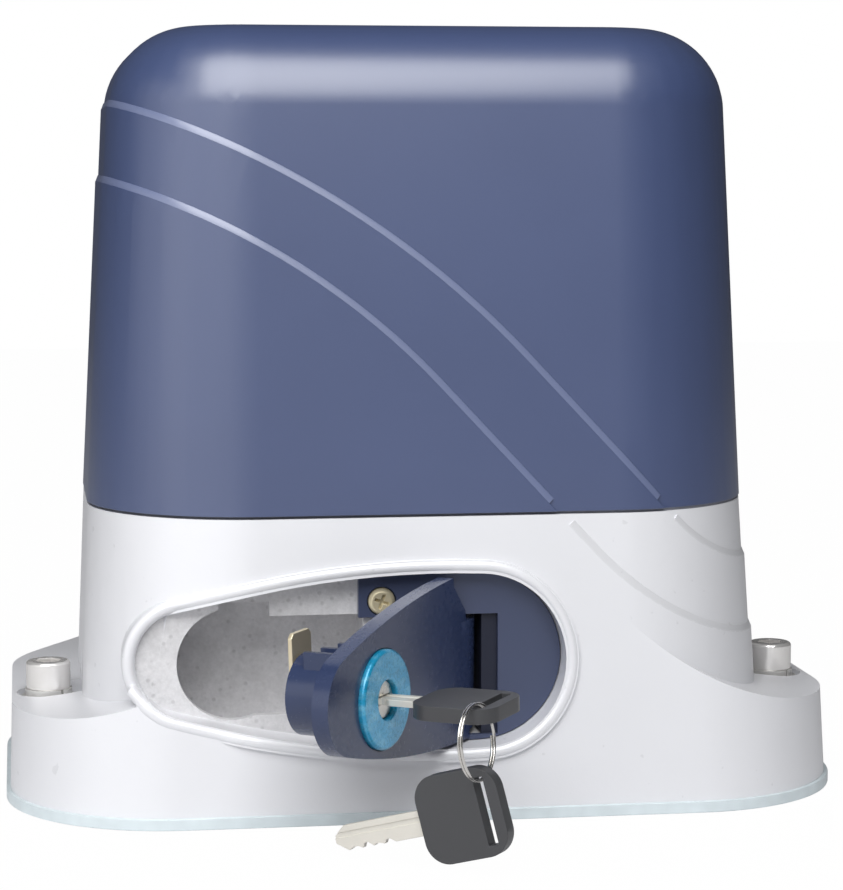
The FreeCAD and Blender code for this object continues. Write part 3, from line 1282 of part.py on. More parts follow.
worm_root = worm_out - d.wheel_module * 2.2
step_z = motor_top - d.rotor_bearing_width - 8
rotor_shaft = turned("motor_shaft",
                     path((0, bearing_foot + 1), (rotor_r, bearing_foot + 1), (rotor_r, worm_low),
                          (worm_root, worm_low), (worm_root, worm_high), (rotor_r, worm_high),
                          (rotor_r, step_z + d.rotor_bearing_width + 1), (0, step_z + d.rotor_bearing_width + 1)))
node("motor_shaft", on_motor(rotor_shaft))
high_shield = turned("motor_cap",
                     path((0, motor_top), (0, motor_top - 3.5), (8, motor_top - 3.5), (8, step_z + d.rotor_bearing_width),
                          (seat, step_z + d.rotor_bearing_width), (seat, step_z), (seat + 4, step_z),
                          (seat + 4, motor_top - 5), (inside, motor_top - 5), (inside, motor_high),
                          (d.motor_radius, motor_high), (d.motor_radius, motor_top - 6),
                          (d.motor_radius - 6, motor_top)))
node("motor_cap", on_motor(high_shield))
motor_outers = []
motor_inners = []
for number, low in enumerate((bearing_foot, deck_low + 4, step_z)):
    high = low + d.rotor_bearing_width
    motor_outers.append(on_motor(turned("motor_outer_%d" % number,
                                        rectangle(rotor_bearing_r - 3, low, rotor_bearing_r, high))))
    motor_inners.append(on_motor(turned("motor_inner_%d" % number,
                                        rectangle(rotor_bore, low, rotor_r + 3, high))))
node("motor_bearing_outers", group("motor_bearing_outers", *motor_outers))
node("motor_bearing_inners", group("motor_bearing_inners", *motor_inners))


# --- control electronics, on the deck beside the motor ---------------------------------------------

board_front = d.board_width * -0.5 - 8
board_back = board_front + d.board_width
board_low = d.deck_top + 22
board_high = board_low + d.board_height
bracket_x = d.board_x - d.standoff - d.bracket_thick
bracket = joined("board_bracket",
                 block("bracket_upright", (bracket_x, bracket_x + d.bracket_thick),
                       (board_front + 2, board_back - 2), (d.deck_top, board_high - 2)),
                 block("bracket_foot", (bracket_x, bracket_x + 16), (board_front + 2, board_front + 24),
                       (d.deck_top, d.deck_top + d.bracket_thick)))
fix_holes = []
for number, (y, z) in enumerate(((board_front + 8, board_low + 8), (board_back - 8, board_low + 8),
                                 (board_front + 8, board_high - 8), (board_back - 8, board_high - 8))):
    fix_holes.append(cylinder("board_fixing_%d" % number, 1.55, bracket_x - 1, d.board_x + 6, y=y, z=z, axis="X"))
node("board_bracket", cut("board_bracket_drilled", bracket, *fix_holes))
board = block("control_board_sheet", (d.board_x, d.board_x + d.board_thick), (board_front, board_back),
              (board_low, board_high))
node("control_board", cut("control_board", board, *fix_holes))
standoffs = []
screws = []
for number, (y, z) in enumerate(((board_front + 8, board_low + 8), (board_back - 8, board_low + 8),
                                 (board_front + 8, board_high - 8), (board_back - 8, board_high - 8))):
    tube_x = (bracket_x + d.bracket_thick, d.board_x)
    standoffs.append(cut("standoff_%d" % number,
                         cylinder("standoff_tube_%d" % number, 3, *tube_x, y=y, z=z, axis="X"),
                         cylinder("standoff_hole_%d" % number, 1.55, *tube_x, y=y, z=z, axis="X")))
    front_x = d.board_x + d.board_thick
    screws.append(joined("board_screw_%d" % number,
                         cylinder("board_screw_body_%d" % number, 1.5, bracket_x, front_x, y=y, z=z, axis="X"),
                         cylinder("board_screw_head_%d" % number, 2.8, front_x, front_x + 2, y=y, z=z, axis="X")))
node("board_standoffs", group("board_standoffs", *standoffs))
node("board_screws", group("board_screws", *screws))
on_board = d.board_x + d.board_thick
relays = [block("relay_%d" % n, (on_board, on_board + 15), (board_front + 20 + n * 20, board_front + 36 + n * 20),
                (board_high - 34, board_high - 14)) for n in range(3)]
node("board_relays", group("board_relays", *relays))
terminal_front = board_front + 16
terminal_block_pieces = [block("terminal_body", (on_board, on_board + 10), (terminal_front, terminal_front + 64),
                               (board_low + 3, board_low + 14))]
ways = [cylinder("terminal_way_%d" % n, 1.8, on_board + 4, on_board + 11, y=terminal_front + 4 + n * 8,
                 z=board_low + 9, axis="X") for n in range(8)]
node("terminal_block", cut("terminal_block", terminal_block_pieces[0], *ways))
core_x = d.board_x + 26
core_y = board_front + 6
transformer = joined(
    "transformer",
    block("transformer_core", (core_x, core_x + d.transformer_width * 0.8),
          (core_y, core_y + d.transformer_depth * 0.8), (d.deck_top + 4, d.deck_top + d.transformer_height)),
    block("transformer_coil", (core_x - 3, core_x + d.transformer_width * 0.8 + 3),
          (core_y + 10, core_y + d.transformer_depth * 0.8 - 10),
          (d.deck_top + 8, d.deck_top + d.transformer_height + 4)),
    block("transformer_foot", (core_x + 2, core_x + d.transformer_width * 0.8 - 2),
          (core_y, core_y + d.transformer_depth * 0.8), (d.deck_top, d.deck_top + 4)))
node("transformer", transformer)
can_x = d.body_length / 2 - 34
can_y = d.body_depth / 2 - 44
can_top = d.deck_top + 3 + d.capacitor_height
can = turned("run_capacitor",
             path((0, d.deck_top + 3), (d.capacitor_radius - 1, d.deck_top + 3),
                  (d.capacitor_radius, d.deck_top + 4), (d.capacitor_radius, can_top - 2),
                  (d.capacitor_radius - 2, can_top), (0, can_top)))
node("run_capacitor", place(can, can_x, can_y))
clip = turned("capacitor_cup", path((0, d.deck_top), (d.capacitor_radius + 2, d.deck_top),
                                    (d.capacitor_radius + 2, d.deck_top + 14),
                                    (d.capacitor_radius + d.running_gap, d.deck_top + 14),
                                    (d.capacitor_radius + d.running_gap, d.deck_top + 3), (0, d.deck_top + 3)))
node("capacitor_cup", place(clip, can_x, can_y))
grommet = turned("cable_grommet",
                 path((7, deck_low - 2), (14.5, deck_low - 2), (14.5, deck_low - 0.1), (12.35, deck_low - 0.1),
                      (12.35, d.deck_top + 0.1), (14.5, d.deck_top + 0.1), (14.5, d.deck_top + 2), (7, d.deck_top + 2)))
node("cable_grommet", place(grommet, d.grommet_x, d.grommet_y))


# --- rear: cover screws and limit switch ------------------------------------------------------------

cover_screws = []
screw_half = d.cover_screw_size / 2
for side, word in ((-1, "left"), (1, "right")):
    screw = turned("cover_screw_" + word,
                   path((0, -9.8), (screw_half - 0.5, -9.8), (screw_half, -9), (screw_half, 0), (4.7, 0),
                        (4.7, 1), (3.6, 2.1), (0, 2.1)))
    pocket(screw, "XY", [polygon(size_of(2.5))], 1.5, lift=2.1)
    cover_screws.append(place(screw, d.cover_screw_x * side, screw_seat, d.cover_screw_z, ALONG_Y))
node("cover_screws", group("cover_screws", *cover_screws))

switch_body = new_body("limit_switch_housing")
pad(switch_body, "XY", [slab(26, 16, 3, d.switch_x, switch_back + 8)], switch_high - switch_low, switch_low)
spindle_y = switch_back + 9
switch_cap = cylinder("limit_switch_neck", 6, switch_high - 0.5, switch_high + 5, x=d.switch_x, y=spindle_y)
node("limit_switch_housing",
     cut("limit_switch_body", joined("limit_switch_solid", switch_body, switch_cap),
         cylinder("limit_switch_bore", 1.55, switch_low + 4, switch_high + 6, x=d.switch_x, y=spindle_y)))
arm_z = switch_high + 5.3
arm_r = 1.6
switch_arm_pieces = [
    cylinder("limit_arm_spindle", 1.5, switch_high - 10, arm_z + 1, x=d.switch_x, y=spindle_y),
    cylinder("limit_arm_hub", 4.2, arm_z, arm_z + 5, x=d.switch_x, y=spindle_y),
    cylinder("limit_arm_rod", arm_r, spindle_y, spindle_y + d.switch_arm, x=d.switch_x, z=arm_z + 2.5, axis="Y"),
]
roller_y = spindle_y + d.switch_arm
arm_tip = doc.addObject("Part::Sphere", "limit_arm_tip")
arm_tip.Radius = 3
place(arm_tip, d.switch_x, roller_y, arm_z + 2.5)
node("limit_switch_arm", joined("limit_switch_arm", *switch_arm_pieces, arm_tip))


# --- check and write --------------------------------------------------------------------------------

doc.recompute()
faults = []
for thing in doc.Objects:
    if "Invalid" in thing.State or "Error" in thing.State:
        faults.append(thing.Name + " " + ",".join(thing.State))
for name, thing in nodes.items():
    if thing.Shape.isNull() or not thing.Shape.isValid():
        faults.append(name + " has no valid shape")
if faults:
    raise RuntimeError("; ".join(faults))
os.makedirs("parts", exist_ok=True)
for name, thing in nodes.items():
    thing.Shape.exportStep("parts/" + name + ".step")
print("wrote %d nodes" % len(nodes))
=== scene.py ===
import json
import math

import bmesh
import bpy
from bpy.props import FloatProperty, FloatVectorProperty, PointerProperty
from mathutils import Matrix, Vector

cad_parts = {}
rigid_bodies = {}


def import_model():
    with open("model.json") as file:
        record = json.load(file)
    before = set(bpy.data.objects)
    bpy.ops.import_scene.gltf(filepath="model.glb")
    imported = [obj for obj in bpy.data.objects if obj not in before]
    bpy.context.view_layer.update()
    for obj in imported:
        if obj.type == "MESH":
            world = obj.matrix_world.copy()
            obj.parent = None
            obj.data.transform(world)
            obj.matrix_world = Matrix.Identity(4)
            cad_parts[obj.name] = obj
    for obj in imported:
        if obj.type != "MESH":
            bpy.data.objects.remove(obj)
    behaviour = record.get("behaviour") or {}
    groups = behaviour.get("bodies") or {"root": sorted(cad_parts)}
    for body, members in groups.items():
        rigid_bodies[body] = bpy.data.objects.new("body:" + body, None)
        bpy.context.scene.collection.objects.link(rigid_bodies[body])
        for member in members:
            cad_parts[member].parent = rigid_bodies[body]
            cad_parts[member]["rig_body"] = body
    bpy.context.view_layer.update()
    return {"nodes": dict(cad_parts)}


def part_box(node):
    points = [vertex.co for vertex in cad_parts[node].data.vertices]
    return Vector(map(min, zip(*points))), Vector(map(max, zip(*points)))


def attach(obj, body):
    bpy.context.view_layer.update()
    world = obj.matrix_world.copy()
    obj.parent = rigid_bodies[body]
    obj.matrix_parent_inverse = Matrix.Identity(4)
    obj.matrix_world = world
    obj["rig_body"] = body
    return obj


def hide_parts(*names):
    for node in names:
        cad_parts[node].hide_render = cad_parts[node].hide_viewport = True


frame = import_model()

bl_info = {
    "name": "Sliding gate motor finish",
    "version": (1, 0, 0),
    "blender": (4, 5, 0),
    "location": "View3D > Sidebar > Gate motor",
    "description": "Finishes the pieces of a sliding gate motor and sets a plain studio round it",
    "category": "Object",
}

BODY_OF = {node: obj["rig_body"] for node, obj in frame["nodes"].items()}

# Fixed places and small clearances, in metres.
BEAD_GAP = 0.00005          # keeps the rounded bead clear of the recess's edge
FLOOR_LAP = 0.0002          # the made-up ledge reaches this far under the bead
FLOOR_SINK = 0.00003        # and lies this far behind the drawn ledge
BARE_SLACK = 0.0002         # a face this near the ledge counts as part of it
BARE_DEPTH = 0.03           # the unpainted chamber reaches this far behind the ledge
BARE_LEFT = -0.0965         # its left end
BARE_BOTTOM = 0.022         # its lowest place
SKIN_LEFT = -0.06           # left of this, faces that lean outwards are painted skin
SEAM_ABOVE = 0.0006         # the cover's ridges stop this far above the seam
SEAM_BELOW = 0.001          # the casting's ridges start this far below it
PATH_BREAK = 0.01           # a longer gap between two points is where a path ends
SLOT_LEFT = 0.0135          # the slot beside the hinge, sideways
SLOT_RIGHT = 0.0212
SLOT_LIP = 0.0015           # the painted shade in the slot starts this far behind the insert's face
FAR_OUT = 0.3               # clear of the whole object
FLOOR_REACH = 2.4
FLOOR_DROP = 0.0002         # keeps the floor clear of the base plate

CAMERA_SPOT = (-0.1431, -1.0056, 0.2236)
CAMERA_DIP = 5.81           # degrees below the level
CAMERA_TURN = -8.38         # degrees to the right
LAMPS = (                   # name, place, aim, power, width and height
    ("softbox", (-0.21, -0.80, 1.07), (0, -0.06, 0.24), "key_power", 1.3, 1.15),
    ("side", (-1.5, -0.45, 0.55), (0, 0, 0.12), "side_power", 1.5, 1.0),
    ("front", (-1.2, -1.35, 0.50), (0, 0, 0.08), "fill_power", 2.1, 1.3),
)


# --- sizes and colours -------------------------------------------------------------------------------

def tint(name, words, value):
    return FloatVectorProperty(name=name, description=words, subtype="COLOR", size=3,
                               min=0.0, max=1.0, default=value)


def length(name, words, value):
    return FloatProperty(name=name, description=words, subtype="DISTANCE", unit="LENGTH",
                         min=0.0, default=value, precision=5)


def place_along(name, words, value):
    return FloatProperty(name=name, description=words, subtype="DISTANCE", unit="LENGTH",
                         default=value, precision=5)


class GATE_MOTOR_housing(bpy.types.PropertyGroup):
    cover_colour: tint("Cover", "Colour of the moulded cover", (0.046, 0.070, 0.168))
    # Painted highlight: the cover's sweep ridges get a lighter blue than the cover itself.
    cover_edge: tint("Cover sweeps", "Colour of the cover along its sweep lines", (0.135, 0.165, 0.290))
    # Painted shade: the casting's sweep ridges get a darker grey than the paint itself.
    paint_edge: tint("Casting sweeps", "Colour of the casting along its sweep lines", (0.71, 0.715, 0.74))
    paint_colour: tint("Casting", "Colour of the paint on the casting", (0.80, 0.805, 0.835))
    bare_colour: tint("Bare casting", "Colour of the unpainted release chamber", (0.76, 0.755, 0.77))
    plate_colour: tint("Base plate", "Colour of the plated base plate", (0.72, 0.80, 0.83))
    edge_round: length("Edge round", "Round on the casting's and cover's edges", 0.0009)
    grain_size: length("Grain", "Size of the moulded grain", 0.0006)
    insert_thick: length("Insert", "Thickness of the fixed insert on its ledge", 0.003)
    step_rise: length("Step rise", "Height of the slope along a sweep line", 0.0022)
    step_depth: length("Step depth", "Depth of the step along a sweep line", 0.001)
    corner: length("Corner", "Corner radius of the housing, seen from above", 0.056)


class GATE_MOTOR_upper_sweep(bpy.types.PropertyGroup):
    crown_radius: length("Crown radius", "Radius of the long arc", 0.318)
    crown_x: place_along("Crown across", "Centre of the long arc, sideways", -0.202)
    crown_z: place_along("Crown height", "Centre of the long arc, height", -0.060)
    steep: FloatProperty(name="Slope", description="Slope of the straight run, degrees", default=46.9)
    foot_radius: length("Foot radius", "Radius where the line levels out", 0.060)
    foot_z: place_along("Foot height", "Height of the line at the right side", 0.0825)


class GATE_MOTOR_lower_sweep(bpy.types.PropertyGroup):
    crown_radius: length("Crown radius", "Radius of the long arc", 0.250)
    crown_x: place_along("Crown across", "Centre of the long arc, sideways", -0.1834)
    crown_z: place_along("Crown height", "Centre of the long arc, height", -0.0219)
    steep: FloatProperty(name="Slope", description="Slope of the straight run, degrees", default=47.0)
    foot_radius: length("Foot radius", "Radius where the line levels out", 0.110)
    foot_z: place_along("Foot height", "Height of the line at the right side", 0.056)


class GATE_MOTOR_recess(bpy.types.PropertyGroup):
    wide_x: place_along("Wide end", "Centre of the wide end, sideways", 0.0125)
    wide_radius: length("Wide radius", "Radius of the wide end", 0.0297)
    narrow_x: place_along("Narrow end", "Centre of the narrow end, sideways", -0.088)
    narrow_radius: length("Narrow radius", "Radius of the narrow end", 0.0177)
    middle_z: place_along("Middle", "Height of the recess's middle", 0.0548)
    flank_radius: length("Flank radius", "Long arcs between the two ends", 0.330)
    bead_width: length("Bead width", "Width of the rounded bead round the recess", 0.0046)
    bead_depth: length("Bead depth", "Depth of the rounded bead, front to back", 0.0065)
    bead_proud: length("Bead height", "The rounded bead stands proud of its seat by this", 0.0006)
    collar_proud: length("Collar", "The bead stands at least this far in front of the ledge", 0.0034)
    collar_depth: length("Collar depth", "Depth of the collar at the narrow end", 0.019)
    collar_inset: length("Collar inset", "The collar lies this far within the bead", 0.0003)
    collar_from: place_along("Collar from", "The collar lies to the left of this place", -0.08)
    floor_from: place_along("Floor", "The ledge is made up to the left of this place", -0.0945)
    floor_thick: length("Floor thickness", "Thickness of that part of the ledge", 0.003)


class GATE_MOTOR_release(bpy.types.PropertyGroup):
    lever_colour: tint("Lever", "Colour of the glossy release lever", (0.026, 0.040, 0.098))
    insert_colour: tint("Insert", "Colour of the fixed insert", (0.052, 0.066, 0.125))
    disc_colour: tint("Lock face", "Colour of the round plate on the lock", (0.012, 0.32, 0.56))
    key_colour: tint("Key head", "Colour of the key heads", (0.050, 0.051, 0.055))
    edge_round: length("Edge round", "Round on the release pieces' edges", 0.0006)
    ring_wire: length("Ring wire", "Diameter of the key ring's wire", 0.00095)
    ring_turns: FloatProperty(name="Ring turns", description="Turns of wire in the key ring", min=1.0,
                              default=1.93)
    ring_turn: FloatProperty(name="Ring turn", description="Turn of the ring about the upright, degrees",
                             default=54.5)
    ring_lean: FloatProperty(name="Ring lean", description="Lean of the hanging ring, degrees", default=7.0)


class GATE_MOTOR_drive(bpy.types.PropertyGroup):
    steel_colour: tint("Steel", "Colour of the machined steel pieces", (0.56, 0.56, 0.57))
    bronze_colour: tint("Bronze", "Colour of the worm wheel", (0.62, 0.42, 0.20))
    zinc_colour: tint("Zinc", "Colour of the zinc plated pinion and bracket", (0.62, 0.66, 0.68))


class GATE_MOTOR_stage(bpy.types.PropertyGroup):
    camera_lens: FloatProperty(name="Lens", description="Focal length", unit="CAMERA", default=110.53)
    key_power: FloatProperty(name="Softbox", description="Power of the softbox in watts", min=0.0,
                             default=21.5)
    side_power: FloatProperty(name="Side lamp", description="Power of the lamp on the left in watts", min=0.0,
                              default=2.5)
    fill_power: FloatProperty(name="Front lamp", description="Power of the low front lamp in watts", min=0.0,
                              default=5.5)
    world_level: FloatProperty(name="Surroundings", description="Brightness of the surroundings", min=0.0,
                               default=0.045)


# --- shader expressions ----------------------------------------------------------------------------

class Wire:
    """An output socket that can be used in sums."""

    def __init__(self, finish, socket):
        self.finish = finish
        self.socket = socket

    def maths(self, operation, other, flipped=False):
        pair = (other, self) if flipped else (self, other)
        return self.finish.add("ShaderNodeMath", {"operation": operation}, *pair)

    def __add__(self, other):
        return self.maths("ADD", other)

    def __sub__(self, other):
        return self.maths("SUBTRACT", other)

    def __rsub__(self, other):
        return self.maths("SUBTRACT", other, True)

    def __mul__(self, other):
        return self.maths("MULTIPLY", other)

    def clamped(self):
        return self.finish.add("ShaderNodeMath", {"operation": "MULTIPLY", "use_clamp": True}, self, 1.0)


class Finish:
    """A material under construction."""

    def __init__(self, name):
        self.material = bpy.data.materials.new(name)
        self.material.use_nodes = True
        self.tree = self.material.node_tree
        self.tree.nodes.clear()
        self.out = self.tree.nodes.new("ShaderNodeOutputMaterial")

    def add(self, kind, settings=None, *values, **named):
        """Add a node: its settings first, then its input sockets by order or by name."""
        node = self.tree.nodes.new(kind)
        for key, value in (settings or {}).items():
            setattr(node, key, value)
        usable = [socket for socket in node.inputs if socket.enabled]
        pairs = list(zip(usable, values)) + [(self.find(node, key), value) for key, value in named.items()]
        for socket, value in pairs:
            self.feed(socket, value)
        return Wire(self, next(socket for socket in node.outputs if socket.enabled))

    def find(self, node, key):
        wanted = key.replace("_", " ").lower()
        return next(socket for socket in node.inputs if socket.enabled and socket.name.lower() == wanted)

    def feed(self, socket, value):
        if isinstance(value, Wire):
            self.tree.links.new(value.socket, socket)
        elif socket.type == "RGBA":
            socket.default_value = (*tuple(value)[:3], 1.0)
        else:
            socket.default_value = value

    def place(self, scale=1.0, offset=(0, 0, 0)):
        """Object coordinates, scaled and moved."""
        node = self.tree.nodes.new("ShaderNodeTexCoord")
        spot = Wire(self, node.outputs["Object"])
        sizes = scale if isinstance(scale, (tuple, list)) else (scale,) * 3
        return self.add("ShaderNodeMapping", None, spot, tuple(offset), (0, 0, 0), tuple(sizes))

    def noise(self, size, detail=3.0, rough=0.55, stretch=(1, 1, 1)):
        scale = tuple(s / size for s in stretch)
        return self.add("ShaderNodeTexNoise", None, self.place(scale), Scale=1.0, Detail=detail,
                        Roughness=rough)

    def cells(self, size):
        return self.add("ShaderNodeTexVoronoi", None, self.place(1.0 / size), Scale=1.0)

    def ramp(self, value, *stops):
        """Grey between two stops, each given as its place and its level."""
        level = self.add("ShaderNodeValToRGB", None, value)
        for element, (place, grey) in zip(level.socket.node.color_ramp.elements, stops):
            element.position = place
            element.color = (grey, grey, grey, 1.0)
        return level

    def mix(self, factor, first, second):
        return self.add("ShaderNodeMix", {"data_type": "RGBA"}, factor, first, second)

    def bump(self, height, distance, strength):
        return self.add("ShaderNodeBump", None, strength, distance, Height=height)

    def surface(self, **sockets):
        node = self.tree.nodes.new("ShaderNodeBsdfPrincipled")
        for key, value in sockets.items():
            self.feed(self.find(node, key), value)
        self.tree.links.new(node.outputs[0], self.out.inputs["Surface"])
        return self.material


def moulded(name, colour, rough, grain, gloss=0.0, depth=0.00004, coat=0.2, sheen=1.5):
    """Moulded plastic: fine grain, faint flow shading and slightly uneven gloss."""
    finish = Finish(name)
    flow = finish.noise(0.06, 2.0)
    speck = finish.noise(grain * 2.5, 3.0)
    shade = finish.mix((flow * 0.7 + speck * 0.3).clamped(), [c * 0.90 for c in colour],
                       [min(1.0, c * 1.10) for c in colour])
    height = finish.noise(grain, 4.0) * 0.6 + finish.cells(grain * 1.6) * 0.4
    return finish.surface(Base_Color=shade, Roughness=(flow - 0.5) * 0.10 + (speck - 0.5) * 0.06 + rough,
                          Coat_Weight=gloss, Coat_Roughness=coat, Coat_IOR=sheen,
                          Normal=finish.bump(height, depth, 0.6))


def painted(name, colour):
    """Silver-grey paint over a casting: orange peel, fine flake and a few darker specks."""
    finish = Finish(name)
    peel = finish.noise(0.0032, 2.0)
    cloud = finish.noise(0.05, 3.0)
    flake = finish.cells(0.0007)
    speck = finish.ramp(finish.noise(0.0045, 2.0, 0.4), (0.73, 0.0), (0.76, 1.0))
    base = finish.mix(cloud, [c * 0.965 for c in colour], colour)
    base = finish.mix(speck * 0.22, base, [c * 0.55 for c in colour])
    height = peel * 0.8 + flake * 0.2
    return finish.surface(Base_Color=base, Metallic=0.12,
                          Roughness=(flake - 0.5) * 0.10 + cloud * 0.08 + 0.34, Coat_Weight=0.15,
                          Coat_Roughness=0.2, Normal=finish.bump(height, 0.00009, 0.45))


def bare_cast(name, colour):
    """Raw die casting: mottled grey, pitted, with a rough skin."""
    finish = Finish(name)
    cloud = finish.noise(0.018, 4.0, 0.6)
    fine = finish.noise(0.0016, 4.0, 0.65)
    pits = finish.ramp(finish.cells(0.0042), (0.10, 0.0), (0.22, 1.0))
    stain = finish.ramp(cloud, (0.35, 0.80), (0.65, 1.0))
    base = finish.mix(fine, [c * 0.78 for c in colour], [min(1, c * 1.16) for c in colour])
    base = finish.add("ShaderNodeMix", {"data_type": "RGBA", "blend_type": "MULTIPLY"}, 1.0, base, stain)
    base = finish.mix((1 - pits) * 0.35, base, [c * 0.45 for c in colour])
    return finish.surface(Base_Color=base, Metallic=0.15, Roughness=fine * 0.25 + 0.42,
                          Normal=finish.bump(fine * 0.6 + pits * 0.25 + cloud * 0.6, 0.0006, 0.55))


def plated(name, colour, rough=0.3, brush=0.0, metal=1.0, blotch=0.25):
    """Plated or machined metal: fine lines, cloudy plating and small stains."""
    finish = Finish(name)
    cloud = finish.noise(0.012, 3.0, 0.6)
    fine = finish.noise(0.0011, 3.0)
    lines = finish.noise(0.02, 3.0, 0.6, (1, 1, 60)) if brush else fine
    base = finish.mix((cloud * blotch * 2).clamped(), colour, [c * 0.72 for c in colour])
    return finish.surface(Base_Color=base, Metallic=metal,
                          Roughness=(cloud - 0.5) * 0.16 + (lines - 0.5) * 0.10 + rough,
                          Normal=finish.bump(lines * 0.7 + fine * 0.3, 0.00003 + brush * 0.00005, 0.4))


def galvanised(name, colour, metal=0.55):
    """Zinc plate with faint spangles and a bluish sheen."""
    finish = Finish(name)
    spangle = finish.cells(0.007)
    cloud = finish.noise(0.03, 3.0)
    base = finish.mix((spangle * 0.5 + cloud * 0.5).clamped(), [min(1, c * 1.08) for c in colour],
                      [c * 0.86 for c in colour])
    scratch = finish.noise(0.004, 3.0, 0.6, (1, 24, 1))
    return finish.surface(Base_Color=base, Metallic=metal, Roughness=spangle * 0.10 + scratch * 0.08 + 0.30,
                          Normal=finish.bump(scratch, 0.00004, 0.4))


def filmed(name, colour):
    """Blue lock face under a slightly wrinkled protective film."""
    finish = Finish(name)
    wrinkle = finish.noise(0.006, 3.0, 0.6, (1, 1, 2.2))
    fine = finish.noise(0.0012, 3.0)
    pale = finish.ramp(wrinkle, (0.50, 0.0), (0.68, 1.0))
    base = finish.mix(pale * 0.45, colour, (0.25, 0.58, 0.74))
    base = finish.mix(finish.ramp(wrinkle, (0.28, 1.0), (0.42, 0.0)) * 0.4, base, [c * 0.45 for c in colour])
    return finish.surface(Base_Color=base, Metallic=0.25, Roughness=fine * 0.12 + 0.22, Coat_Weight=0.6,
                          Coat_Roughness=0.08, Normal=finish.bump(wrinkle * 0.8 + fine * 0.2, 0.0006, 0.5))


def rubber(name, colour=(0.03, 0.03, 0.032)):
    finish = Finish(name)
    dust = finish.noise(0.008, 3.0)
    return finish.surface(Base_Color=finish.mix(dust, colour, [c * 1.9 for c in colour]),
                          Roughness=dust * 0.15 + 0.62,
                          Normal=finish.bump(finish.noise(0.0009), 0.00005, 0.5))


def laminated(name, colour):
    """A stack of varnished sheets, seen on edge."""
    finish = Finish(name)
    wave = finish.add("ShaderNodeTexWave", {"bands_direction": "Z"}, finish.place(), Scale=310.0,
                      Distortion=0.0)
    cloud = finish.noise(0.01)
    base = finish.mix(wave, [c * 0.6 for c in colour], colour)
    return finish.surface(Base_Color=finish.mix(cloud * 0.5, base, (0.20, 0.12, 0.07)), Metallic=0.6,
                          Roughness=cloud * 0.2 + 0.35, Normal=finish.bump(wave, 0.0002, 0.6))


def wound(name, colour):
    """Enamelled wire laid in turns."""
    finish = Finish(name)
    wave = finish.add("ShaderNodeTexWave", {"wave_type": "RINGS", "rings_direction": "Z"},
                      finish.place(1.0, (0.0522, -0.015, 0)), Scale=330.0, Distortion=1.5, Detail=1.0)
    cloud = finish.noise(0.006)
    return finish.surface(Base_Color=finish.mix(wave, [c * 0.45 for c in colour], colour), Metallic=0.8,
                          Roughness=cloud * 0.2 + 0.25, Normal=finish.bump(wave, 0.0003, 0.7))


def circuit(name, colour):
    """Solder resist over tracks, with pads."""
    finish = Finish(name)
    tracks = finish.add("ShaderNodeTexBrick", {"offset": 0.5}, finish.place(140.0), Scale=1.0,
                        Mortar_Size=0.03)
    cloud = finish.noise(0.01)
    pads = finish.ramp(finish.cells(0.005), (0.10, 1.0), (0.13, 0.0))
    base = finish.mix(finish.ramp(tracks, (0.2, 1.0), (0.5, 0.0)) * 0.4, colour, [c * 0.5 for c in colour])
    base = finish.mix(pads * 0.8, base, (0.62, 0.55, 0.35))
    return finish.surface(Base_Color=base, Roughness=cloud * 0.1 + 0.3, Coat_Weight=0.4,
                          Normal=finish.bump(pads, 0.0001, 0.4))


# --- meshes -----------------------------------------------------------------------------------------

def settle(obj):
    """Apply every modifier, leaving a plain mesh at the origin."""
    bpy.context.view_layer.update()
    graph = bpy.context.evaluated_depsgraph_get()
    made = bpy.data.meshes.new_from_object(obj.evaluated_get(graph))
    made.name = obj.name
    obj.modifiers.clear()
    if obj.type == "MESH":
        obj.data = made
        return obj
    name = obj.name
    body = bpy.data.objects.new(name, made)
    bpy.context.scene.collection.objects.link(body)
    bpy.data.objects.remove(obj)
    body.name = name
    return body


def own_copy(node, name, edge, angle, steps):
    """A node's own shape as one joined mesh with rounded edges and smooth faces."""
    mesh = frame["nodes"][node].data.copy()
    mesh.name = name
    mesh.materials.clear()
    work = bmesh.new()
    work.from_mesh(mesh)
    bmesh.ops.remove_doubles(work, verts=work.verts, dist=0.000004)
    bmesh.ops.dissolve_limit(work, angle_limit=math.radians(0.6), verts=work.verts, edges=work.edges)
    work.to_mesh(mesh)
    work.free()
    obj = bpy.data.objects.new(name, mesh)
    bpy.context.scene.collection.objects.link(obj)
    if edge > 0:
        bevel = obj.modifiers.new("round", "BEVEL")
        bevel.width = edge
        bevel.segments = steps
        bevel.limit_method = "ANGLE"
        bevel.angle_limit = math.radians(angle)
        bevel.use_clamp_overlap = True
        bevel.miter_outer = "MITER_ARC"
        obj = settle(obj)
    mesh = obj.data
    mesh.shade_smooth()
    mesh.set_sharp_from_angle(angle=math.radians(32))
    weighted = obj.modifiers.new("even", "WEIGHTED_NORMAL")
    weighted.keep_sharp = True
    weighted.mode = "FACE_AREA"
    return settle(obj)


def dress(node, material, edge, angle=28.0, steps=2):
    """Put a finished copy in a node's place."""
    obj = own_copy(node, node + "_finish", edge, angle, steps)
    obj.data.materials.clear()
    obj.data.materials.append(material)
    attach(obj, BODY_OF[node])
    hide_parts(node)
    return obj


def coat(nodes, material):
    """Give nodes that keep their own shape a finish."""
    for node in nodes:
        mesh = frame["nodes"][node].data
        mesh.materials.clear()
        mesh.materials.append(material)


# --- pieces that follow a path -----------------------------------------------------------------------

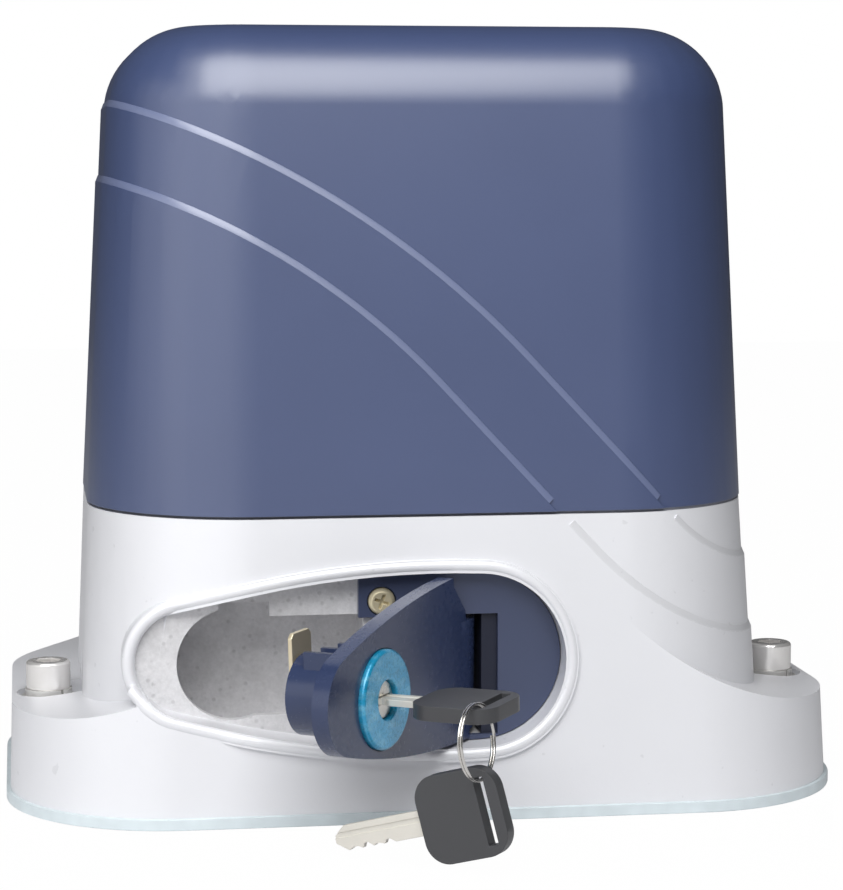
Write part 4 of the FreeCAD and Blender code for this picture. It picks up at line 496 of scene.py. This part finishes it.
class Recipe:
    """A geometry node tree with named inputs for its sizes."""

    def __init__(self, name):
        self.tree = bpy.data.node_groups.new(name, "GeometryNodeTree")
        self.tree.interface.new_socket("Geometry", in_out="INPUT", socket_type="NodeSocketGeometry")
        self.tree.interface.new_socket("Geometry", in_out="OUTPUT", socket_type="NodeSocketGeometry")
        self.entry = self.tree.nodes.new("NodeGroupInput")
        self.exit = self.tree.nodes.new("NodeGroupOutput")
        self.named = {}

    def number(self, name, value):
        socket = self.tree.interface.new_socket(name, in_out="INPUT", socket_type="NodeSocketFloat")
        socket.default_value = value
        self.named[name] = socket.identifier
        return next(output for output in self.entry.outputs if output.identifier == socket.identifier)

    def add(self, kind, settings=None, **inputs):
        node = self.tree.nodes.new(kind)
        for key, value in (settings or {}).items():
            setattr(node, key, value)
        for key, value in inputs.items():
            socket = node.inputs[key.replace("_", " ")]
            if isinstance(value, bpy.types.NodeSocket):
                self.tree.links.new(value, socket)
            else:
                socket.default_value = value
        return node

    def finish(self, geometry, material):
        real = self.add("GeometryNodeRealizeInstances", Geometry=geometry)
        done = self.add("GeometryNodeSetMaterial", Geometry=real.outputs[0], Material=material)
        self.tree.links.new(done.outputs[0], self.exit.inputs[0])

    def sweep(self, profile, count, rounding, material):
        """Carry a profile with rounded corners, kept upright, along the edges that come in."""
        line = self.add("GeometryNodeMeshToCurve", Mesh=self.entry.outputs[0])
        upright = self.add("GeometryNodeSetCurveNormal", {"mode": "Z_UP"}, Curve=line.outputs[0])
        soft = self.add("GeometryNodeFilletCurve", {"mode": "POLY"}, Curve=profile.outputs[0], Count=count,
                        Radius=rounding)
        self.carry(upright, soft, material)

    def carry(self, line, profile, material):
        swept = self.add("GeometryNodeCurveToMesh", Curve=line.outputs[0], Profile_Curve=profile.outputs[0],
                         Fill_Caps=True)
        self.finish(swept.outputs[0], material)

    def bake(self, name, values, matrix, path=None):
        holder = bpy.data.objects.new(name, path or bpy.data.meshes.new(name))
        bpy.context.scene.collection.objects.link(holder)
        modifier = holder.modifiers.new("recipe", "NODES")
        modifier.node_group = self.tree
        for key, value in values.items():
            modifier[self.named[key]] = value
        obj = settle(holder)
        obj.data.transform(matrix)
        work = bmesh.new()
        work.from_mesh(obj.data)
        bmesh.ops.recalc_face_normals(work, faces=work.faces)
        work.to_mesh(obj.data)
        work.free()
        obj.data.shade_smooth()
        obj.data.set_sharp_from_angle(angle=math.radians(40))
        return obj


def coil_recipe(name, material):
    """Wire wound in a helix: turns, radius, rise and wire."""
    recipe = Recipe(name)
    turns = recipe.number("Turns", 5.0)
    radius = recipe.number("Radius", 0.004)
    rise = recipe.number("Rise", 0.01)
    wire = recipe.number("Wire", 0.001)
    spiral = recipe.add("GeometryNodeCurveSpiral", Resolution=48, Rotations=turns, Start_Radius=radius,
                        End_Radius=radius, Height=rise)
    circle = recipe.add("GeometryNodeCurvePrimitiveCircle", Resolution=12, Radius=wire)
    recipe.carry(spiral, circle, material)
    return recipe


def ridge_recipe(name, material):
    """A sloped strip along a path of edges: it falls back by its depth over its rise."""
    recipe = Recipe(name)
    rise = recipe.number("Rise", 0.0022)
    depth = recipe.number("Depth", 0.001)
    skirt = recipe.number("Skirt", 0.0005)
    profile = recipe.add("GeometryNodeCurvePrimitiveQuadrilateral", {"mode": "POINTS"})
    corners = ((0.02, skirt, 1.0), (-1.02, rise, -1.0), (-2.2, rise, -1.0), (-2.2, skirt, 1.0))
    for number, (out_share, height, down_share) in enumerate(corners, start=1):
        corner = recipe.add("ShaderNodeCombineXYZ")
        for axis, socket, share in ((0, depth, -out_share), (1, height, down_share)):
            product = recipe.add("ShaderNodeMath", {"operation": "MULTIPLY"})
            recipe.tree.links.new(socket, product.inputs[0])
            product.inputs[1].default_value = share
            recipe.tree.links.new(product.outputs[0], corner.inputs[axis])
        recipe.tree.links.new(corner.outputs[0], profile.inputs["Point %d" % number])
    recipe.sweep(profile, 3, 0.00025, material)
    return recipe


def collar_recipe(name, material):
    """A rounded strip standing on edge along a path of edges: its width, depth and rounding."""
    recipe = Recipe(name)
    width = recipe.number("Width", 0.004)
    depth = recipe.number("Depth", 0.01)
    rounding = recipe.number("Rounding", 0.0018)
    strip = recipe.add("GeometryNodeCurvePrimitiveQuadrilateral", {"mode": "RECTANGLE"}, Width=width,
                       Height=depth)
    recipe.sweep(strip, 6, rounding, material)
    return recipe


def path_mesh(name, points, closed=False):
    """Edges through points, in order."""
    count = len(points)
    edges = [(number, (number + 1) % count) for number in range(count if closed else count - 1)]
    mesh = bpy.data.meshes.new(name)
    mesh.from_pydata(points, edges, [])
    return mesh


def along_arcs(arcs, step=0.0015):
    """Points along arcs, each given as centre, radius, first and last angle."""
    points = []
    for (across, up), radius, first, last in arcs:
        count = max(3, math.ceil(abs(last - first) * radius / step))
        for number in range(count):
            angle = first + (last - first) * number / count
            points.append((across + radius * math.cos(angle), up + radius * math.sin(angle)))
    return points


def sweep_height(line, across):
    """Height of a sweep line at a place across the housing."""
    slope = math.radians(line.steep)
    steep_x = line.crown_x + line.crown_radius * math.sin(slope)
    steep_z = line.crown_z + line.crown_radius * math.cos(slope)
    if across < steep_x:
        return line.crown_z + math.sqrt(line.crown_radius ** 2 - (across - line.crown_x) ** 2)
    level_z = line.foot_z + line.foot_radius * (1 - math.cos(slope))
    level_x = steep_x + (steep_z - level_z) / math.tan(slope)
    if across < level_x:
        return steep_z - (across - steep_x) * math.tan(slope)
    foot_x = level_x + line.foot_radius * math.sin(slope)
    if across < foot_x:
        return line.foot_z + line.foot_radius - math.sqrt(line.foot_radius ** 2 - (foot_x - across) ** 2)
    return line.foot_z


def wall_rays(half_x, half_y, corner, step=0.0018):
    """Places round a rounded rectangle, from the middle of its right side, with outward directions."""
    rays = []
    for sign_x, sign_y, first in ((1, -1, 0.0), (-1, -1, -90.0), (-1, 1, -180.0), (1, 1, -270.0)):
        centre = ((half_x - corner) * sign_x, (half_y - corner) * sign_y)
        count = math.ceil(corner * math.pi / 2 / step)
        for number in range(count + 1):
            angle = math.radians(first - 90.0 * number / count)
            way = (math.cos(angle), math.sin(angle))
            rays.append(((centre[0] + corner * way[0], centre[1] + corner * way[1]), way))
    filled = []
    for (spot, way), (other, _) in zip(rays, rays[1:] + rays[:1]):
        count = max(1, math.ceil(math.dist(spot, other) / step))
        for number in range(count):
            share = number / count
            between = (spot[0] + (other[0] - spot[0]) * share, spot[1] + (other[1] - spot[1]) * share)
            filled.append((between, way))
    start = min(range(len(filled)), key=lambda n: (filled[n][0][0] < half_x * 0.99, abs(filled[n][0][1])))
    return filled[start:] + filled[:start]


def sweep_path(target, line, half_x, half_y, corner, low, high):
    """Points of a sweep line on the surface of one piece."""
    points = []
    for (across, deep), way in wall_rays(half_x, half_y, corner):
        up = sweep_height(line, across)
        for _ in range(3):
            start = Vector((across + way[0] * 0.1, deep + way[1] * 0.1, min(up, high + 0.001) - 0.0014))
            found, spot, _, _ = target.ray_cast(start, Vector((-way[0], -way[1], 0.0)), distance=0.16)
            if not found:
                break
            up = sweep_height(line, spot.x)
        if found and low < up < high:
            points.append((spot.x, spot.y, up))
    return points


# --- operators ----------------------------------------------------------------------------------------

class GATE_MOTOR_OT_housing(bpy.types.Operator):
    """Finish the base plate, the casting, the cover and the gasket"""
    bl_idname = "gate_motor.housing"
    bl_label = "Housing"

    def outline(self, recess, gap):
        """Points round the recess, set outwards by a gap."""
        near = recess.flank_radius - recess.wide_radius
        far = recess.flank_radius - recess.narrow_radius
        span = recess.wide_x - recess.narrow_x
        shift = (near ** 2 - far ** 2 + span ** 2) / (span * 2)
        rise = math.sqrt(near ** 2 - shift ** 2)
        first = math.atan2(rise, shift)
        last = math.atan2(rise, shift - span)
        flank = recess.flank_radius + gap
        middle = recess.middle_z
        across = recess.wide_x - shift
        return along_arcs((
            ((across, middle - rise), flank, first, last),
            ((recess.narrow_x, middle), recess.narrow_radius + gap, last, math.tau - last),
            ((across, middle + rise), flank, -last, -first),
            ((recess.wide_x, middle), recess.wide_radius + gap, -first, first)))

    def collar(self, recess, casting, paint, ledge):
        """Rounded bead round the recess, with a deep collar under it at the narrow end."""
        width = recess.bead_width
        bead = []
        for across, up in self.outline(recess, width / 2 + BEAD_GAP):
            found, spot, _, _ = casting.ray_cast(Vector((across, -FAR_OUT, up)), Vector((0, 1, 0)))
            front = spot.y - recess.bead_proud if found else 0.0
            bead.append((across, up, -min(front, ledge - recess.collar_proud)))
        under = [point for point in bead if point[0] < recess.collar_from]
        strip = collar_recipe("recess bead recipe", paint)
        for name, points, deep, inset in (("recess_bead", bead, recess.bead_depth, 0.0),
                                          ("recess_collar", under, recess.collar_depth, recess.collar_inset)):
            middle = [(across, up, out - inset - deep / 2) for across, up, out in points]
            piece = strip.bake(name, {"Width": width - inset * 2, "Depth": deep, "Rounding": width * 0.48},
                               Matrix.Rotation(math.radians(90), 4, "X"),
                               path_mesh(name, middle, closed=points is bead))
            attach(piece, BODY_OF["gearbox_casting"])

    def floor(self, recess, raw, ledge):
        """The ledge at the narrow end of the recess, made up to the bead."""
        rim = [point for point in self.outline(recess, FLOOR_LAP) if point[0] < recess.floor_from]
        back = ledge + recess.floor_thick
        work = bmesh.new()
        fronts = [work.verts.new((across, ledge + FLOOR_SINK, up)) for across, up in rim]
        backs = [work.verts.new((across, back, up)) for across, up in rim]
        work.faces.new(fronts)
        work.faces.new(list(reversed(backs)))
        for number, (one, two) in enumerate(zip(fronts, backs)):
            after = (number + 1) % len(rim)
            work.faces.new((fronts[after], one, two, backs[after]))
        bmesh.ops.recalc_face_normals(work, faces=work.faces)
        mesh = bpy.data.meshes.new("recess_floor")
        work.to_mesh(mesh)
        work.free()
        mesh.materials.append(raw)
        piece = bpy.data.objects.new("recess_floor", mesh)
        bpy.context.scene.collection.objects.link(piece)
        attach(piece, BODY_OF["gearbox_casting"])

    def bare_chamber(self, casting, ledge, right, top):
        """Give the second finish to the ledge and to the walls behind it."""
        for face in casting.data.polygons:
            spot = face.center
            on_ledge = abs(spot.y - ledge) < BARE_SLACK and face.normal.y < -0.98
            in_wall = ledge + BARE_SLACK < spot.y < ledge + BARE_DEPTH and BARE_LEFT < spot.x < right
            at_height = BARE_BOTTOM < spot.z < top
            skin = spot.x < SKIN_LEFT and face.normal.x < -0.2 and face.normal.y < -0.2
            if on_ledge or in_wall and at_height and not skin:
                face.material_index = 1

    def ridge(self, name, sizes, line, target, finish, bottom, top):
        """A sloped strip along one sweep line, on the cover or on the casting."""
        node = target.name.replace("_finish", "")
        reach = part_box("top_cover")[1]
        points = sweep_path(target, line, reach.x, reach.y, sizes.corner, bottom, top)
        split = max(range(len(points)), key=lambda n: math.dist(points[n - 1], points[n]))
        if math.dist(points[split - 1], points[split]) > PATH_BREAK:
            points = points[split:] + points[:split]
        name = "%s_%s_ridge" % (node, name)
        piece = ridge_recipe(name + " recipe", finish).bake(
            name, {"Rise": sizes.step_rise, "Depth": sizes.step_depth}, Matrix(), path_mesh(name, points))
        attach(piece, BODY_OF[node])

    def cover_plastic(self, name, colour, grain):
        return moulded(name, colour, 0.42, grain, gloss=0.95, depth=0.00002, coat=0.34, sheen=1.8)

    def execute(self, context):
        scene = context.scene
        sizes = scene.gate_motor_housing
        cover = self.cover_plastic("cover moulding", sizes.cover_colour, sizes.grain_size)
        # Painted highlight: this lighter blue is the finish of the cover's sweep ridges.
        cover_edge = self.cover_plastic("cover sweep edge", sizes.cover_edge, sizes.grain_size)
        paint = painted("silver casting paint", sizes.paint_colour)
        # Painted shade: this darker grey is the finish of the casting's sweep ridges.
        paint_edge = painted("casting sweep edge", sizes.paint_edge)
        raw = bare_cast("bare release chamber", sizes.bare_colour)
        top = dress("top_cover", cover, sizes.edge_round, 20.0, steps=3)
        casting = dress("gearbox_casting", paint, sizes.edge_round, 24.0, steps=3)
        casting.data.materials.append(raw)
        insert_low, insert_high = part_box("release_insert")
        ledge = insert_low.y + sizes.insert_thick
        self.bare_chamber(casting, ledge, insert_high.x, insert_high.z)
        context.view_layer.update()
        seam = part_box("top_cover")[0].z
        # The cover's ridges carry the painted highlight and the casting's ridges carry the painted shade.
        for word, line in (("upper", scene.gate_motor_upper_sweep), ("lower", scene.gate_motor_lower_sweep)):
            self.ridge(word, sizes, line, top, cover_edge, seam + SEAM_ABOVE, 1.0)
            self.ridge(word, sizes, line, casting, paint_edge, 0.0, seam - SEAM_BELOW - sizes.step_rise)
        self.collar(scene.gate_motor_recess, casting, paint, ledge)
        self.floor(scene.gate_motor_recess, raw, ledge)
        dress("base_plate", galvanised("zinc plated base", sizes.plate_colour, 0.2), 0.0005)
        coat(["cover_gasket"], rubber("seam gasket", (0.16, 0.165, 0.19)))
        return {"FINISHED"}


class GATE_MOTOR_OT_fasteners(bpy.types.Operator):
    """Finish the ear bolts, their washers, the nuts and the screws"""
    bl_idname = "gate_motor.fasteners"
    bl_label = "Fasteners"

    def execute(self, context):
        nickel = plated("nickel plating", (0.90, 0.88, 0.86), 0.2, metal=0.6)
        dull = plated("plain washers", (0.78, 0.77, 0.75), 0.32, metal=0.6)
        yellow = plated("yellow zinc", (0.82, 0.73, 0.50), 0.3, metal=0.45, blotch=0.4)
        dress("ear_bolts", nickel, 0.0004, 30.0)
        dress("ear_spring_washers", dull, 0.0002)
        dress("ear_flat_washers", dull, 0.0002)
        dress("insert_screw", yellow, 0.00025)
        dress("cover_screws", nickel, 0.0002)
        coat(["weld_nuts"], dull)
        return {"FINISHED"}


class GATE_MOTOR_OT_release(bpy.types.Operator):
    """Finish the release lever, the insert and the lock"""
    bl_idname = "gate_motor.release"
    bl_label = "Release"

    def execute(self, context):
        sizes = context.scene.gate_motor_release
        glossy = moulded("glossy lever moulding", sizes.lever_colour, 0.27, 0.0009, 0.2, 0.00001)
        dress("release_lever", glossy, sizes.edge_round, 30.0)
        satin = moulded("insert moulding", sizes.insert_colour, 0.36, 0.0006, 0.1, 0.00002)
        insert = dress("release_insert", satin, 0.0003)
        # Painted shade: a near-black finish on the insert's faces inside the slot beside the hinge, where
        # shade falls.
        insert.data.materials.append(moulded("slot lining", (0.008, 0.011, 0.028), 0.5, 0.0006, 0.0, 0.00002))
        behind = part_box("release_insert")[0].y + SLOT_LIP
        for face in insert.data.polygons:
            if SLOT_LEFT < face.center.x < SLOT_RIGHT and face.center.y > behind:
                face.material_index = 1
        dress("lock_face_ring", filmed("blue lock face", sizes.disc_colour), 0.0004)
        dress("lock_barrel", plated("lock body plating", (0.62, 0.62, 0.62), 0.35), 0.0003)
        brass = plated("brass", (0.80, 0.70, 0.50), 0.34, metal=0.6)
        dress("lock_plug", plated("plug plating", (0.68, 0.66, 0.60), 0.3), 0.00015)
        dress("lock_cam", brass, 0.0003)
        coat(["cam_screw", "lever_hinge_pin"], plated("bright steel", (0.6, 0.6, 0.61), 0.3))
        return {"FINISHED"}


class GATE_MOTOR_OT_keys(bpy.types.Operator):
    """Finish both keys and wind the split ring"""
    bl_idname = "gate_motor.keys"
    bl_label = "Keys"

    def execute(self, context):
        sizes = context.scene.gate_motor_release
        head = moulded("key head moulding", sizes.key_colour, 0.42, 0.0007, 0.08, 0.00002)
        blade = plated("key blade nickel", (0.80, 0.77, 0.70), 0.42, 1.0, metal=0.4)
        for number in (1, 2):
            dress("key_%d_head" % number, head, 0.0007, 30.0)
            dress("key_%d_blade" % number, blade, 0.0002)
        wire = plated("ring wire", (0.72, 0.70, 0.67), 0.22)
        low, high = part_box("key_ring")
        thick = sizes.ring_wire
        radius = (high.z - low.z) / 2 / math.cos(math.radians(sizes.ring_lean)) - thick
        turns = sizes.ring_turns
        lay = (Matrix.Translation((low + high) / 2) @ Matrix.Rotation(math.radians(sizes.ring_turn), 4, "Z")
               @ Matrix.Rotation(math.radians(90 - sizes.ring_lean), 4, "X")
               @ Matrix.Translation((0, 0, -thick * turns / 2)))
        ring = coil_recipe("split ring coil", wire).bake("key_ring_finish", {
            "Turns": turns, "Radius": radius, "Rise": thick * turns, "Wire": thick / 2}, lay)
        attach(ring, BODY_OF["key_ring"])
        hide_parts("key_ring")
        return {"FINISHED"}


class GATE_MOTOR_OT_drive(bpy.types.Operator):
    """Finish the clutch, the worm wheel, the output shaft and the pinion"""
    bl_idname = "gate_motor.drive"
    bl_label = "Drive"

    def execute(self, context):
        sizes = context.scene.gate_motor_drive
        steel = plated("machined steel", sizes.steel_colour, 0.3, 1.0)
        bronze = plated("wheel bronze", sizes.bronze_colour, 0.34, 1.0)
        zinc = galvanised("zinc plated pinion", sizes.zinc_colour)
        dress("output_pinion", zinc, 0.0004)
        dress("pinion_washer", zinc, 0.0003)
        dress("pinion_bolt", zinc, 0.0003)
        dress("output_shaft", steel, 0.0002)
        dress("worm_wheel", bronze, 0.0003)
        coat(["pinion_key", "clutch_plunger", "clutch_cone", "shaft_bearing_outers", "shaft_bearing_inners",
              "shaft_spacer", "motor_bearing_outers", "motor_bearing_inners", "motor_shaft"], steel)
        coat(["shaft_bearing_cages", "shaft_seal"], rubber("seals"))
        dress("clutch_spring", steel, 0.0)
        return {"FINISHED"}


class GATE_MOTOR_OT_motor(bpy.types.Operator):
    """Finish the motor, its windings and the control electronics"""
    bl_idname = "gate_motor.motor"
    bl_label = "Motor and electronics"

    def execute(self, context):
        alloy = bare_cast("motor shield casting", (0.60, 0.60, 0.61))
        coat(["motor_flange", "motor_cap"], alloy)
        coat(["motor_stator", "motor_rotor", "transformer"], laminated("lamination", (0.30, 0.30, 0.32)))
        coat(["motor_windings"], wound("copper winding", (0.70, 0.33, 0.14)))
        coat(["control_board"], circuit("board", (0.02, 0.16, 0.06)))
        coat(["board_bracket"], galvanised("bracket zinc", context.scene.gate_motor_drive.zinc_colour))
        coat(["board_standoffs", "board_screws"], plated("small plated parts", (0.66, 0.65, 0.6), 0.3))
        dark = moulded("black moulding", (0.02, 0.02, 0.022), 0.5, 0.0006, 0.0)
        coat(["board_relays", "capacitor_cup"], dark)
        coat(["terminal_block"], moulded("terminal moulding", (0.03, 0.22, 0.08), 0.45, 0.0006, 0.0))
        coat(["run_capacitor"], plated("capacitor can", (0.66, 0.66, 0.67), 0.35, 1.0))
        coat(["cable_grommet"], rubber("grommet rubber"))
        dress("limit_switch_housing", dark, 0.0006)
        dress("limit_switch_arm", plated("switch arm", (0.66, 0.65, 0.63), 0.3), 0.0002)
        return {"FINISHED"}


class GATE_MOTOR_OT_stage(bpy.types.Operator):
    """Set the floor, the lamps, the surroundings and the camera"""
    bl_idname = "gate_motor.stage"
    bl_label = "Stage"

    def camera(self, scene, lens):
        data = bpy.data.cameras.new("front view")
        data.lens = lens
        data.sensor_width = 36.0
        data.sensor_fit = "AUTO"
        data.clip_start = 0.05
        data.clip_end = 20.0
        camera = bpy.data.objects.new("front view", data)
        camera.location = CAMERA_SPOT
        camera.rotation_euler = (math.radians(90 - CAMERA_DIP), 0.0, math.radians(CAMERA_TURN))
        scene.collection.objects.link(camera)
        scene.camera = camera

    def floor(self, scene):
        """A sheet that looks white and gives back a softer light than it shows."""
        finish = Finish("pale floor")
        rays = finish.tree.nodes.new("ShaderNodeLightPath")
        seen, glossy, through = (Wire(finish, rays.outputs["Is %s Ray" % kind])
                                 for kind in ("Camera", "Glossy", "Transmission"))
        seen = (seen + glossy * 0.05 + through).clamped()
        sheet = finish.add("ShaderNodeBsdfDiffuse", None, (0.72, 0.72, 0.73))
        glow = finish.add("ShaderNodeEmission", None, (1.0, 1.0, 1.0), 1.0)
        both = finish.add("ShaderNodeMixShader", None, seen * 0.99, sheet, glow)
        finish.tree.links.new(both.socket, finish.out.inputs["Surface"])
        mesh = bpy.data.meshes.new("floor")
        signs = ((-1, -1), (1, -1), (1, 1), (-1, 1))
        corners = [(x * FLOOR_REACH, y * FLOOR_REACH, -FLOOR_DROP) for x, y in signs]
        mesh.from_pydata(corners, [], [(0, 1, 2, 3)])
        mesh.materials.append(finish.material)
        floor = bpy.data.objects.new("floor", mesh)
        scene.collection.objects.link(floor)

    def surroundings(self, scene, level):
        """White to the camera, dim to everything else."""
        world = bpy.data.worlds.new("studio")
        scene.world = world
        world.use_nodes = True
        nodes = world.node_tree.nodes
        links = world.node_tree.links
        nodes.clear()
        out = nodes.new("ShaderNodeOutputWorld")
        mixer = nodes.new("ShaderNodeMixShader")
        path = nodes.new("ShaderNodeLightPath")
        links.new(path.outputs["Is Camera Ray"], mixer.inputs["Fac"])
        for slot, colour, strength in ((1, (0.93, 0.95, 1.0, 1.0), level), (2, (1.0, 1.0, 1.0, 1.0), 1.0)):
            light = nodes.new("ShaderNodeBackground")
            light.inputs["Color"].default_value = colour
            light.inputs["Strength"].default_value = strength
            links.new(light.outputs[0], mixer.inputs[slot])
        links.new(mixer.outputs[0], out.inputs["Surface"])

    def execute(self, context):
        scene = context.scene
        sizes = scene.gate_motor_stage
        scene.view_settings.view_transform = "Standard"
        self.camera(scene, sizes.camera_lens)
        self.floor(scene)
        self.surroundings(scene, sizes.world_level)
        for name, spot, aim, power, width, height in LAMPS:
            data = bpy.data.lights.new(name, "AREA")
            data.energy = getattr(sizes, power)
            data.shape = "RECTANGLE"
            data.size = width
            data.size_y = height
            lamp = bpy.data.objects.new(name, data)
            lamp.location = spot
            lamp.rotation_euler = (Vector(aim) - Vector(spot)).to_track_quat("-Z", "Y").to_euler()
            scene.collection.objects.link(lamp)
        return {"FINISHED"}


class GATE_MOTOR_PT_panel(bpy.types.Panel):
    """Sizes, colours and steps of the gate motor"""
    bl_idname = "GATE_MOTOR_PT_panel"
    bl_label = "Gate motor"
    bl_space_type = "VIEW_3D"
    bl_region_type = "UI"
    bl_category = "Gate motor"

    def draw(self, context):
        scene = context.scene
        for group in (getattr(scene, name) for name in GROUPS):
            box = self.layout.box()
            for name in group.__annotations__:
                box.prop(group, name)
        for operator in STEPS:
            self.layout.operator(operator.bl_idname)


GROUPS = {
    "gate_motor_housing": GATE_MOTOR_housing,
    "gate_motor_upper_sweep": GATE_MOTOR_upper_sweep,
    "gate_motor_lower_sweep": GATE_MOTOR_lower_sweep,
    "gate_motor_recess": GATE_MOTOR_recess,
    "gate_motor_release": GATE_MOTOR_release,
    "gate_motor_drive": GATE_MOTOR_drive,
    "gate_motor_stage": GATE_MOTOR_stage,
}
STEPS = (GATE_MOTOR_OT_stage, GATE_MOTOR_OT_housing, GATE_MOTOR_OT_fasteners, GATE_MOTOR_OT_release,
         GATE_MOTOR_OT_keys, GATE_MOTOR_OT_drive, GATE_MOTOR_OT_motor)
CLASSES = tuple(GROUPS.values()) + STEPS + (GATE_MOTOR_PT_panel,)


def register():
    for item in CLASSES:
        bpy.utils.register_class(item)
    for name, group in GROUPS.items():
        setattr(bpy.types.Scene, name, PointerProperty(type=group))


def unregister():
    for name in GROUPS:
        delattr(bpy.types.Scene, name)
    for item in reversed(CLASSES):
        bpy.utils.unregister_class(item)


def main():
    register()
    bpy.ops.gate_motor.stage()
    bpy.ops.gate_motor.housing()
    bpy.ops.gate_motor.fasteners()
    bpy.ops.gate_motor.release()
    bpy.ops.gate_motor.keys()
    bpy.ops.gate_motor.drive()
    bpy.ops.gate_motor.motor()


if __name__ == "__main__":
    main()
